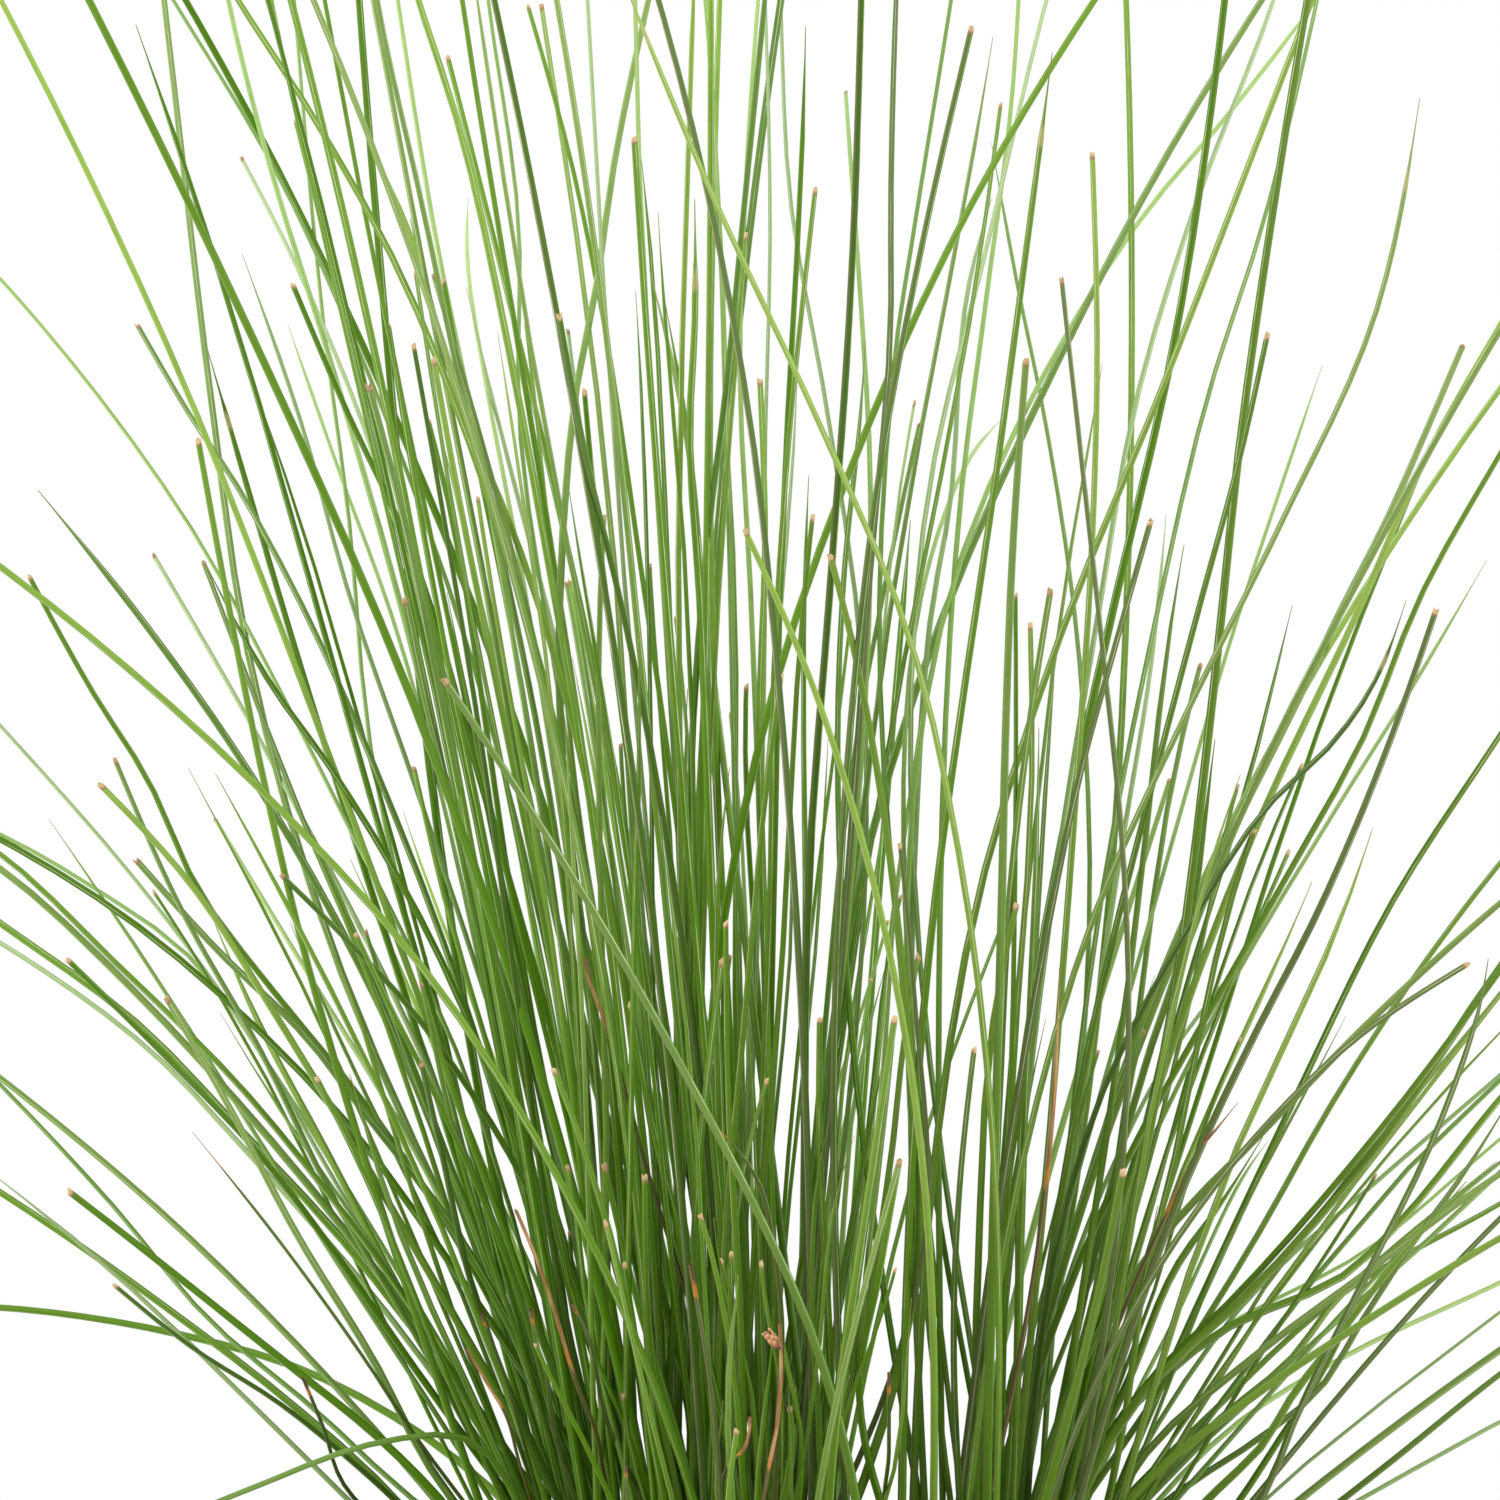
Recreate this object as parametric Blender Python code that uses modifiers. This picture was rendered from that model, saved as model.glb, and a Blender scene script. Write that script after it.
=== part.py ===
"""Potted fiber optic grass: a plain nursery pot, its potting mix, the grass crown and 57 of its stems.

Metres, +Z up. The origin is the centre of the pot's underside. The side of the tuft that
the photograph shows faces -Y, and +X is to its right.
"""

import math
from typing import NamedTuple

import bpy
import numpy as np
from mathutils import Matrix, Vector

MM = 0.001

# Pot, moulded in thin plastic, tapered so that pots stack
POT_HEIGHT = 92 * MM
POT_BASE_RADIUS = 38 * MM
POT_TOP_RADIUS = 53 * MM
POT_WALL = 1.4 * MM
POT_FLOOR = 1.8 * MM
FOOT_HEIGHT = 2.0 * MM
HUB_RADIUS = 16 * MM
FOOT_INNER_RADIUS = 31 * MM
COLLAR_HEIGHT = 12 * MM
COLLAR_STEP = 2.0 * MM
LIP_ROUND = 0.8 * MM
POT_STEPS = 40

# Drainage in the pot's floor: a ring of holes in the raised ring, and notches in the foot
DRAIN_HOLES = 8
DRAIN_RADIUS = 4 * MM
DRAIN_RING_RADIUS = 23.5 * MM
DRAIN_SIDES = 12
NOTCHES = 4
NOTCH_WIDTH = 5 * MM
NOTCH_HEIGHT = 1.4 * MM

# Potting mix and crown
GAP = 0.3 * MM
SOIL_TOP = 82 * MM
SOIL_STEPS = 36
CROWN_RADIUS = 26 * MM
CROWN_DEPTH = 6 * MM
CROWN_RISE = 6 * MM
CROWN_STEPS = 32
CROWN_TOP = SOIL_TOP + CROWN_RISE

# Dead sheaths, the short stubs that stand between the stems on the crown
SHEATHS = 70
SHEATH_RADIUS = 1.1 * MM
SHEATH_TIP_SHARE = 0.45
SHEATH_SHORT = 7 * MM
SHEATH_LONG = 15 * MM
SHEATH_SIDES = 5
SHEATH_CLEARANCE = 1.9 * MM
GOLDEN_ANGLE = math.pi * (3 - math.sqrt(5))

# Stems
STEM_RADIUS = 0.48 * MM
CUT_TIP_SHARE = 0.62
POINT_TIP_SHARE = 0.2
STEM_RINGS = 9
STEM_START_GAP = 0.8 * MM
STEM_SPACING = 2 * STEM_RADIUS + 1.5 * GAP
SAMPLE_STEP = 0.4 * MM
GIVE_WAY_STEP = 0.8 * MM
GIVE_WAY_TRIES = 60
ROOT_SPIRAL = 0.35 * MM
SPIKELET_SHARE = 2.3
SPIKELET_BELOW_TIP = 2.4 * MM

# Where the photograph was taken from. Stems are placed by where they are seen on the
# upright plane through the pot's axis, and pulled along the line of sight to their depth.
EYE = Vector((-4.0, -797.0, 253.0)) * MM


class Stem(NamedTuple):
    """One stem. Places are in millimetres.

    root is where it leaves the crown, as X and Y. seen is where it is seen above the crown
    on the plane through the pot's axis, as X and height, from low to high, its tip last.
    depth is the Y of its tip, negative towards the viewer.
    """

    root: tuple
    seen: tuple
    depth: float
    tip: float = POINT_TIP_SHARE


CUT = CUT_TIP_SHARE

GREEN_STEMS = (
    Stem((-12, -5), ((-41, 80.5), (-64, 140), (-99, 208)), -12),
    Stem((-9, -12), ((-34.5, 91.5), (-60, 150), (-92, 213)), -38),
    Stem((-9, 15), ((-52, 95), (-60, 151), (-66, 209)), 62, CUT),
    Stem((-4, 19), ((-30, 105), (-47, 145), (-78, 200)), 80),
    Stem((-17, -9), ((-31.5, 82.5), (-42.5, 140), (-61, 213)), -28),
    Stem((-11, -17), ((-23, 94), (-36, 140), (-68, 215)), -48),
    Stem((-19, 8), ((-35, 85), (-40.5, 140), (-45.5, 215)), 45, CUT),
    Stem((-6, 12), ((-17, 90), (-28, 140), (-34, 164)), 58, CUT),
    Stem((-5, -6), ((-14, 95), (-19.5, 146), (-31.5, 214)), -18),
    Stem((-2, -11), ((-11, 94.5), (-14.5, 140), (-15.5, 156)), -30, CUT),
    Stem((-9, 0), ((-9, 70), (-8, 140), (-8, 228)), 3),
    Stem((-7, 9), ((-9, 90), (-4.5, 143), (7.5, 219)), 62),
    Stem((-7, -3), ((-3, 96), (9.5, 131.5), (21, 155), (45, 190)), -10),
    Stem((20, -6), ((27.5, 75), (30.5, 140), (30, 154.5)), -20, CUT),
    Stem((19, -13), ((21, 70), (22.5, 120), (23.5, 134)), -58, CUT),
    Stem((20, 9), ((32, 80), (34, 140), (30, 222)), 58),
    Stem((16, 4), ((27, 85), (39, 140), (47, 215)), 30),
    Stem((1, 11), ((9.5, 91.5), (30.5, 141.5), (63.5, 195)), 48),
    Stem((12, -6), ((20, 85), (40.5, 140), (66, 207)), -8),
    Stem((22, -2), ((38.5, 70), (46, 135), (58, 209)), -26),
    Stem((22, 3), ((41.5, 80), (61, 120), (97, 178)), 2),
    Stem((18, 9), ((40, 79), (63, 120), (108, 176)), 40),
    Stem((22, -9), ((34, 28), (53, 47), (69, 70), (103, 117)), -24),
    Stem((25, 1), ((52.5, 20), (71, 34), (124, 68)), 8),
    Stem((17, -19), ((27.5, 25.5), (32, 44.5), (33.5, 52.5)), -64, CUT),
    Stem((3, -20), ((4.5, 25.5), (7.5, 47.5), (10.5, 68)), -92, CUT),
    Stem((0, -24), ((3, 20), (8.5, 44.5), (11, 53.5)), -78, CUT),
    Stem((-20, -11), ((-36, 20), (-55, 36.5), (-72.5, 50.5)), -34, CUT),
    Stem((-23, 1), ((-40.5, 20), (-62.5, 38.5), (-112, 70)), 4),
    Stem((-20, 9), ((-36.5, 20), (-56.5, 42), (-114, 87)), 36),
    Stem((-15, 15), ((-31, 21), (-47, 31.5), (-69.5, 37.5), (-104, 39)), 58),
    Stem((-3, -19), ((-15.5, 35.5), (-34.5, 70), (-66, 103), (-107, 133)), -62),
    Stem((-21, 5), ((-37, 60), (-56.5, 96.5), (-75, 121)), 30),
    Stem((-23, -5), ((-34.5, 28.5), (-48.5, 74), (-59, 126)), -26, CUT),
    Stem((13, -21), ((10.5, 72), (3, 99.5), (-4.5, 117)), -84, CUT),
    Stem((9, -22), ((4.5, 29), (-10, 61.5), (-21, 81), (-34.5, 102)), -98, CUT),
    Stem((-8, 20), ((-12, 50), (-22, 112)), 115, CUT),
    Stem((4, 21), ((7, 55), (12, 118)), 125),
    Stem((14, 18), ((24, 45), (38, 92)), 104, CUT),
    Stem((-15, 17), ((-26, 40), (-44, 84)), 92),
)

# Flowering stems that end in a small scale and a pointed bract
BRACT_STEMS = (
    Stem((18, -15), ((19, 70), (13.5, 101), (-8, 151), (-17.5, 174)), -66),
    Stem((11, -12), ((13.5, 70), (21, 126), (26, 164.5)), -47),
    Stem((16, -18), ((30, 77), (50, 120), (59.5, 142.5), (62.5, 160)), -42),
    Stem((-18, 8), ((-36, 62), (-48.5, 102), (-58, 135)), 44),
)

# Stems flushed purple brown by the sun
BRONZE_STEMS = (
    Stem((-7, -16), ((-14.5, 83.5), (-23.5, 140), (-38, 209)), -58),
    Stem((2, -13), ((0.5, 80), (-6, 140), (-25, 208)), -52),
    Stem((4, -8), ((1.5, 70), (6, 140), (8, 230)), -38),
    Stem((7, -16), ((5, 81.5), (8.5, 120), (18, 167)), -62, CUT),
    Stem((24, -8), ((34, 70), (29.5, 120), (27, 142)), -50, CUT),
    Stem((22, -13), ((40, 52), (57, 88), (64.5, 109)), -36, CUT),
    Stem((20, -17), ((32, 33.5), (43.5, 52), (57.5, 66.5), (68, 73.5)), -50, CUT),
    Stem((25, -6), ((47.5, 20), (61, 36.5), (115, 87)), -30),
)

# Dead, straw coloured stems. The second one carries the only spikelet.
DRY_STEMS = (
    Stem((-2, -16), ((-1.5, 20), (-1.5, 44), (-4, 53), (-9.5, 59)), -58),
    Stem((-5, -21), ((-2.5, 20), (-1, 29), (-1, 37)), -66),
    Stem((-8, -20), ((-7, 20), (-10, 43)), -64, CUT),
    Stem((13, -10), ((22, 28), (26.5, 59.5), (27, 73)), -36),
)
SPIKELET_STEM = 1

BENT_STEM = Stem((-19, -14), ((-29, 21), (-33.5, 26), (-39, 25.5), (-55, 20), (-88, 4)), -34)

# Colours, as linear RGB, with roughness
PLASTIC = ("pot_plastic", (0.028, 0.030, 0.029), 0.42)
PEAT = ("potting_mix", (0.045, 0.026, 0.015), 0.95)
SHEATH = ("crown_sheath", (0.19, 0.12, 0.05), 0.8)
LEAF_GREEN = ("stem_green", (0.11, 0.26, 0.02), 0.38)
LEAF_BRONZE = ("stem_bronze", (0.12, 0.13, 0.07), 0.42)
STRAW = ("stem_dry", (0.42, 0.24, 0.11), 0.7)


def clear_scene():
    for thing in list(bpy.data.objects):
        bpy.data.objects.remove(thing)


def collection(name):
    made = bpy.data.collections.new(name)
    bpy.context.scene.collection.children.link(made)
    return made


def material(finish):
    """The plain material of a finish, which is its name, linear RGB and roughness."""
    name, rgb, roughness = finish
    found = bpy.data.materials.get(name)
    if found:
        return found
    made = bpy.data.materials.new(name)
    made.use_nodes = True
    shader = made.node_tree.nodes["Principled BSDF"]
    shader.inputs["Base Color"].default_value = (*rgb, 1)
    shader.inputs["Roughness"].default_value = roughness
    shader.inputs["Metallic"].default_value = 0
    return made


def add(name, data, finish, home):
    """A new object of that mesh or curve, in the collection home."""
    made = bpy.data.objects.new(name, data)
    data.materials.append(material(finish))
    home.objects.link(made)
    return made


def turned(name, profile, steps, finish, home):
    """A turned solid. profile is (radius, height) pairs, down its outer side."""
    mesh = bpy.data.meshes.new(name)
    points = [(radius, 0, height) for radius, height in profile]
    mesh.from_pydata(points, [(i, i + 1) for i in range(len(points) - 1)], [])
    made = add(name, mesh, finish, home)
    screw = made.modifiers.new("turn", "SCREW")
    screw.steps = steps
    screw.render_steps = steps
    screw.use_merge_vertices = True
    screw.merge_threshold = 0.00001
    return made


def combine(target, tools, operation):
    """Cuts a collection of tools from target, or joins them on, with a Boolean modifier."""
    boolean = target.modifiers.new(operation.lower(), "BOOLEAN")
    boolean.operation = operation
    boolean.operand_type = "COLLECTION"
    boolean.collection = tools
    boolean.solver = "EXACT"


def helper_from_primitive(name, matrix, home):
    """Moves the primitive that was just added into home, as a helper that doesn't render."""
    made = bpy.context.object
    made.name = name
    for old_home in list(made.users_collection):
        old_home.objects.unlink(made)
    home.objects.link(made)
    made.hide_render = True
    made.display_type = "WIRE"
    made.matrix_world = matrix


def wall_radius(height):
    """The pot's outer radius at a height, below its collar."""
    return POT_BASE_RADIUS + (POT_TOP_RADIUS - POT_BASE_RADIUS) * height / POT_HEIGHT


def pot_profile():
    floor_top = FOOT_HEIGHT + POT_FLOOR
    collar_bottom = POT_HEIGHT - COLLAR_HEIGHT
    shoulder = POT_HEIGHT - LIP_ROUND
    inner_top = wall_radius(shoulder) - POT_WALL
    outer_top = wall_radius(shoulder) + COLLAR_STEP
    return [
        (0, floor_top),
        (wall_radius(floor_top) - POT_WALL, floor_top),
        (inner_top, shoulder),
        (inner_top + LIP_ROUND, POT_HEIGHT),
        (outer_top - LIP_ROUND, POT_HEIGHT),
        (outer_top, shoulder),
        (wall_radius(collar_bottom) + COLLAR_STEP, collar_bottom + LIP_ROUND),
        (wall_radius(collar_bottom) + COLLAR_STEP - LIP_ROUND, collar_bottom),
        (wall_radius(collar_bottom), collar_bottom),
        (wall_radius(LIP_ROUND), LIP_ROUND),
        (POT_BASE_RADIUS - LIP_ROUND, 0),
        (FOOT_INNER_RADIUS, 0),
        (FOOT_INNER_RADIUS - LIP_ROUND, FOOT_HEIGHT),
        (HUB_RADIUS + LIP_ROUND, FOOT_HEIGHT),
        (HUB_RADIUS, 0),
        (0, 0),
    ]


def make_pot(parts, drains, notches):
    """The pot, with its drain holes and the notches that let water out from under it."""
    pot = turned("pot", pot_profile(), POT_STEPS, PLASTIC, parts)
    half_side = math.pi / DRAIN_SIDES
    middle_height = FOOT_HEIGHT + POT_FLOOR / 2
    for i in range(DRAIN_HOLES):
        bpy.ops.mesh.primitive_cylinder_add(
            vertices=DRAIN_SIDES, radius=DRAIN_RADIUS, depth=4 * POT_FLOOR
        )
        turn = Matrix.Rotation(2 * math.pi * i / DRAIN_HOLES, 4, "Z")
        place = Matrix.Translation((DRAIN_RING_RADIUS, 0, middle_height))
        clear_of_seams = Matrix.Rotation(half_side, 4, "Z")
        helper_from_primitive(f"drain_cutter_{i}", turn @ place @ clear_of_seams, drains)
    combine(pot, drains, "DIFFERENCE")
    middle = (FOOT_INNER_RADIUS + POT_BASE_RADIUS) / 2
    length = 2 * (POT_BASE_RADIUS - FOOT_INNER_RADIUS)
    size = Matrix.Diagonal((length, NOTCH_WIDTH, 2 * NOTCH_HEIGHT, 1))
    for i in range(NOTCHES):
        bpy.ops.mesh.primitive_cube_add(size=1)
        turn = Matrix.Rotation(2 * math.pi * (i + 0.5) / NOTCHES, 4, "Z")
        place = Matrix.Translation((middle, 0, 0))
        helper_from_primitive(f"notch_cutter_{i}", turn @ place @ size, notches)
    combine(pot, notches, "DIFFERENCE")


def make_soil(parts):
    """The potting mix, a plug that fills the pot, with a pocket for the crown."""
    bottom = FOOT_HEIGHT + POT_FLOOR + GAP
    pocket_radius = CROWN_RADIUS + GAP
    pocket_floor = SOIL_TOP - CROWN_DEPTH - GAP
    edge_height = SOIL_TOP - 1.0 * MM
    profile = [
        (0, pocket_floor),
        (pocket_radius, pocket_floor),
        (pocket_radius, SOIL_TOP),
        (pocket_radius + 5 * MM, SOIL_TOP + 0.6 * MM),
        (pocket_radius + 14 * MM, SOIL_TOP - 0.4 * MM),
        (wall_radius(edge_height) - POT_WALL - GAP, edge_height),
        (wall_radius(bottom) - POT_WALL - GAP, bottom),
        (0, bottom),
    ]
    return turned("potting_mix", profile, SOIL_STEPS, PEAT, parts)


def crown_height(x, y):
    """The height of the crown's domed top at a place on it."""
    share = min(1.0, math.hypot(x, y) / CROWN_RADIUS)
    return SOIL_TOP + CROWN_RISE * (1 - share * share)


def smooth_through(knots, count):
    """count points, evenly spaced, on the smooth curve through the knots."""
    reach = [0.0]
    for a, b in zip(knots, knots[1:]):
        reach.append(reach[-1] + (b - a).length)
    slopes = [(knots[i + 1] - knots[i]) / (reach[i + 1] - reach[i]) for i in range(len(knots) - 1)]
    inner = [
        (slopes[i - 1] * (reach[i + 1] - reach[i]) + slopes[i] * (reach[i] - reach[i - 1]))
        / (reach[i + 1] - reach[i - 1])
        for i in range(1, len(knots) - 1)
    ]
    first = slopes[0] * 1.5 - inner[0] * 0.5
    last = slopes[-1] * 1.5 - inner[-1] * 0.5
    tangents = [first, *inner, last]
    points = []
    for k in range(count):
        along = reach[-1] * k / (count - 1)
        i = max(j for j in range(len(slopes)) if reach[j] <= along + 1e-12)
        span = reach[i + 1] - reach[i]
        t = (along - reach[i]) / span
        points.append(
            knots[i] * (2 * t**3 - 3 * t**2 + 1)
            + tangents[i] * span * (t**3 - 2 * t**2 + t)
            + knots[i + 1] * (3 * t**2 - 2 * t**3)
            + tangents[i + 1] * span * (t**3 - t**2)
        )
    return points


def sighted(x, height, depth):
    """The point at that depth on the line of sight through x and height on the axis plane."""
    on_plane = Vector((x * MM, 0, CROWN_TOP + height * MM))
    return EYE + (on_plane - EYE) * (depth - EYE.y) / -EYE.y


def stem_route(stem, attempt):
    """The stem's centreline, from just above the crown to its tip.

    Each attempt after the first moves its tip's depth and, along a spiral, its root.
    """
    shift = GIVE_WAY_STEP * ((attempt + 1) // 2) * (-1) ** attempt
    reach = ROOT_SPIRAL * math.sqrt(attempt)
    x = stem.root[0] * MM + reach * math.cos(attempt * GOLDEN_ANGLE)
    y = stem.root[1] * MM + reach * math.sin(attempt * GOLDEN_ANGLE)
    root = Vector((x, y, crown_height(x, y) + STEM_START_GAP))
    tip_height = stem.seen[-1][1]
    longest = max(height for _, height in stem.seen)
    knots = [root]
    for i, (seen_x, height) in enumerate(stem.seen):
        share = (i + 1) / len(stem.seen) if longest > tip_height else height / tip_height
        depth = y + (stem.depth * MM + shift - y) * share
        knots.append(sighted(seen_x, height, depth))
    return smooth_through(knots, STEM_RINGS)


def spacing(route, others):
    """The least distance between a route's centreline and the pieces of the other routes."""
    if not others:
        return math.inf
    samples = []
    for a, b in zip(route, route[1:]):
        count = math.ceil((b - a).length / SAMPLE_STEP)
        samples += [a.lerp(b, i / count) for i in range(count)]
    points = np.array([*samples, route[-1]])[:, None]
    starts = np.array([a for other in others for a in other[:-1]])
    spans = np.array([b for other in others for b in other[1:]]) - starts
    along = ((points - starts) * spans).sum(2) / (spans * spans).sum(1)
    nearest = starts + spans * np.clip(along, 0, 1)[..., None]
    return float(np.sqrt(((points - nearest) ** 2).sum(2).min()))


def clear_route(stem, others):
    """The stem's route, a little nearer or farther where it would touch another stem."""
    for attempt in range(GIVE_WAY_TRIES):
        route = stem_route(stem, attempt)
        if spacing(route, others) > STEM_SPACING:
            return route
    raise ValueError(f"no room for the stem that is rooted at {stem.root}")


def tube(name, route, shares, finish, home):
    """A round stem along the route. shares are its radius at each point, of STEM_RADIUS."""
    curve = bpy.data.curves.new(name, "CURVE")
    curve.dimensions = "3D"
    curve.bevel_depth = STEM_RADIUS
    curve.bevel_resolution = 1
    curve.use_fill_caps = True
    spline = curve.splines.new("POLY")
    spline.points.add(len(route) - 1)
    for point, place, share in zip(spline.points, route, shares):
        point.co = (*place, 1)
        point.radius = share
    return add(name, curve, finish, home)


def taper(tip):
    """Radius shares along a stem, which thins steadily and ends in its tip's share."""
    last = STEM_RINGS - 1
    body = [1 - (1 - CUT_TIP_SHARE) * i / last for i in range(last)]
    return [*body, tip]


def spikelet_taper(route):
    """Radius shares of the dry flowering stem, which swells into its spikelet below the tip."""
    below = [(point - route[-1]).length for point in route]
    nearest = min(range(len(route)), key=lambda i: abs(below[i] - SPIKELET_BELOW_TIP))
    shares = taper(POINT_TIP_SHARE)
    shares[nearest] = SPIKELET_SHARE
    return shares


def make_stems(parts):
    """Every stem of the table, each its own object. Returns their routes."""
    routes = []
    for word, finish, stems in (
        ("green", LEAF_GREEN, GREEN_STEMS),
        ("bract", LEAF_GREEN, BRACT_STEMS),
        ("bronze", LEAF_BRONZE, BRONZE_STEMS),
        ("dry", STRAW, DRY_STEMS),
    ):
        for i, stem in enumerate(stems):
            route = clear_route(stem, routes)
            with_spikelet = finish is STRAW and i == SPIKELET_STEM
            shares = spikelet_taper(route) if with_spikelet else taper(stem.tip)
            tube(f"{word}_stem_{i + 1:02d}", route, shares, finish, parts)
            routes.append(route)
    route = clear_route(BENT_STEM, routes)
    tube("bent_stem", route, taper(BENT_STEM.tip), LEAF_GREEN, parts)
    routes.append(route)
    return routes


def make_crown(parts, sheaths, routes):
    """The crown, a low dome, with dead sheaths wherever no stem needs the room."""
    dome = [
        (0, CROWN_TOP),
        (0.35 * CROWN_RADIUS, crown_height(0.35 * CROWN_RADIUS, 0)),
        (0.65 * CROWN_RADIUS, crown_height(0.65 * CROWN_RADIUS, 0)),
        (0.88 * CROWN_RADIUS, crown_height(0.88 * CROWN_RADIUS, 0)),
        (CROWN_RADIUS, SOIL_TOP - 0.5 * MM),
        (CROWN_RADIUS, SOIL_TOP - CROWN_DEPTH),
        (0, SOIL_TOP - CROWN_DEPTH),
    ]
    crown = turned("crown", dome, CROWN_STEPS, SHEATH, parts)
    for i in range(SHEATHS):
        radius = 0.93 * CROWN_RADIUS * math.sqrt((i + 0.5) / SHEATHS)
        angle = i * GOLDEN_ANGLE
        foot = Vector((radius * math.cos(angle), radius * math.sin(angle), 0))
        foot.z = crown_height(foot.x, foot.y) - 1.5 * MM
        lean = Vector((foot.x, foot.y, 1.6 * CROWN_RADIUS)).normalized()
        length = SHEATH_SHORT + (SHEATH_LONG - SHEATH_SHORT) * (i * 7 % 10) / 9
        if spacing([foot, foot + lean * length], routes) < SHEATH_CLEARANCE:
            continue
        bpy.ops.mesh.primitive_cone_add(
            vertices=SHEATH_SIDES,
            radius1=SHEATH_RADIUS,
            radius2=SHEATH_RADIUS * SHEATH_TIP_SHARE,
            depth=length,
        )
        turn = lean.to_track_quat("Z", "Y").to_matrix().to_4x4()
        place = Matrix.Translation(foot + lean * length / 2)
        helper_from_primitive(f"sheath_{i:03d}", place @ turn, sheaths)
    combine(crown, sheaths, "UNION")


def main():
    clear_scene()
    parts = collection("potted_fiber_optic_grass")
    make_pot(parts, collection("drain_cutters"), collection("notch_cutters"))
    make_soil(parts)
    routes = make_stems(parts)
    make_crown(parts, collection("sheaths"), routes)
    bpy.context.view_layer.update()


main()
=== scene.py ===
"""Looks of the potted fiber optic grass: its stems, crown, potting mix, pot and studio.

Metres, +Z up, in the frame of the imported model. The view of the photograph looks along +Y.
"""

import logging
import math
from dataclasses import dataclass
from enum import Enum
from typing import NamedTuple

import bmesh
import bpy
import numpy as np
from mathutils import Matrix, Vector


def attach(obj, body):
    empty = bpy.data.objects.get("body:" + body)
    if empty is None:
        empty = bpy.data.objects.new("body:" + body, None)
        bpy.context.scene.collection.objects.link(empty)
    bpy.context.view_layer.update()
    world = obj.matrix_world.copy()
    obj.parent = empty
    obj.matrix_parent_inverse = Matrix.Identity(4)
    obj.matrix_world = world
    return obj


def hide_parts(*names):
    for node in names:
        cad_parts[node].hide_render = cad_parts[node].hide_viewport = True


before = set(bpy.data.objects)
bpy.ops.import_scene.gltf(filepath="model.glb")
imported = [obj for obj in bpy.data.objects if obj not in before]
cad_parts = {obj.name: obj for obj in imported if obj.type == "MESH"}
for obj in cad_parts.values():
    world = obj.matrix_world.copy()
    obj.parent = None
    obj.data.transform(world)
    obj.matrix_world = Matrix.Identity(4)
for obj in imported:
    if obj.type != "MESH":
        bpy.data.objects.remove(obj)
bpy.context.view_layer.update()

MM = 0.001
GOLDEN_ANGLE = math.pi * (3 - math.sqrt(5))
log = logging.getLogger("fiber_optic_grass")


# Where the photograph was taken from, and what it frames


@dataclass(frozen=True)
class Viewpoint:
    """The photograph's point of view, as part.py places its stems by it."""

    eye: Vector = Vector((-4, -797, 253)) * MM
    aim: Vector = Vector((-4, 0, 183)) * MM
    frame_width: float = 150 * MM
    sensor: float = 36.0

    def lens(self) -> float:
        """The focal length that frames frame_width at the pot's axis."""
        return self.sensor * (self.eye - self.aim).length / self.frame_width

    def sighted(self, x: float, z: float, depth: float) -> Vector:
        """Finds the point at a depth on the line of sight through a place on the axis plane.

        Args:
            x: Where it is seen across the upright plane through the pot's axis.
            z: The height at which it is seen on that plane.
            depth: The point's Y.

        Returns:
            The point, in metres.
        """
        on_plane = Vector((x, 0, z))
        return self.eye + (on_plane - self.eye) * (depth - self.eye.y) / -self.eye.y


VIEW = Viewpoint()


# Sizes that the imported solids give


@dataclass(frozen=True)
class Planting:
    """Where the crown, the mix and the pot are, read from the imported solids."""

    crown_radius: float = 26 * MM
    crown_rise: float = 6 * MM
    crown_depth: float = 6 * MM
    soil_top: float = 82 * MM

    def crown_z(self, x: float, y: float) -> float:
        """The height of the crown's domed top at a place on it."""
        share = min(1.0, math.hypot(x, y) / self.crown_radius)
        return self.soil_top + self.crown_rise * (1 - share * share)


PLANTING = Planting()


# Colour and node helpers


def linear(code: str) -> tuple[float, float, float, float]:
    """Turns an sRGB hex code into linear RGBA.

    Args:
        code: Six hex digits, such as "7c8f3a".

    Returns:
        Linear red, green and blue with an alpha of 1.
    """
    parts = [int(code[i : i + 2], 16) / 255 for i in (0, 2, 4)]
    return (*(c / 12.92 if c <= 0.04045 else ((c + 0.055) / 1.055) ** 2.4 for c in parts), 1.0)


def add(tree: bpy.types.NodeTree, kind: str, wires: dict | None = None, **settings) -> bpy.types.Node:
    """Adds a node with its settings, and links or sets its inputs.

    Args:
        tree: The node tree that gets it.
        kind: The node's type name.
        wires: Input name or index, to the socket that feeds it or the value it holds.
        **settings: Properties of the node.

    Returns:
        The node.
    """
    made = tree.nodes.new(kind)
    for name, value in settings.items():
        setattr(made, name, value)
    for key, value in (wires or {}).items():
        if isinstance(value, bpy.types.NodeSocket):
            tree.links.new(value, made.inputs[key])
        else:
            made.inputs[key].default_value = value
    return made


class Sum:
    """Arithmetic on sockets of one tree, each step a Math node."""

    def __init__(self, tree: bpy.types.NodeTree) -> None:
        """Keeps the tree that gets the nodes."""
        self.tree = tree

    def do(self, operation: str, *values) -> bpy.types.NodeSocket:
        """Adds one Math node.

        Args:
            operation: The node's operation.
            *values: Its inputs, as sockets or numbers.

        Returns:
            The node's output socket.
        """
        return add(self.tree, "ShaderNodeMath", dict(enumerate(values)), operation=operation).outputs[0]

    def ramp(self, value, low, high, start=0.0, end=1.0) -> bpy.types.NodeSocket:
        """Maps value from low..high to start..end, smoothly and clamped."""
        wires = {0: value, 1: low, 2: high, 3: start, 4: end}
        made = add(self.tree, "ShaderNodeMapRange", wires, interpolation_type="SMOOTHSTEP")
        return made.outputs[0]


# Finishes


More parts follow.
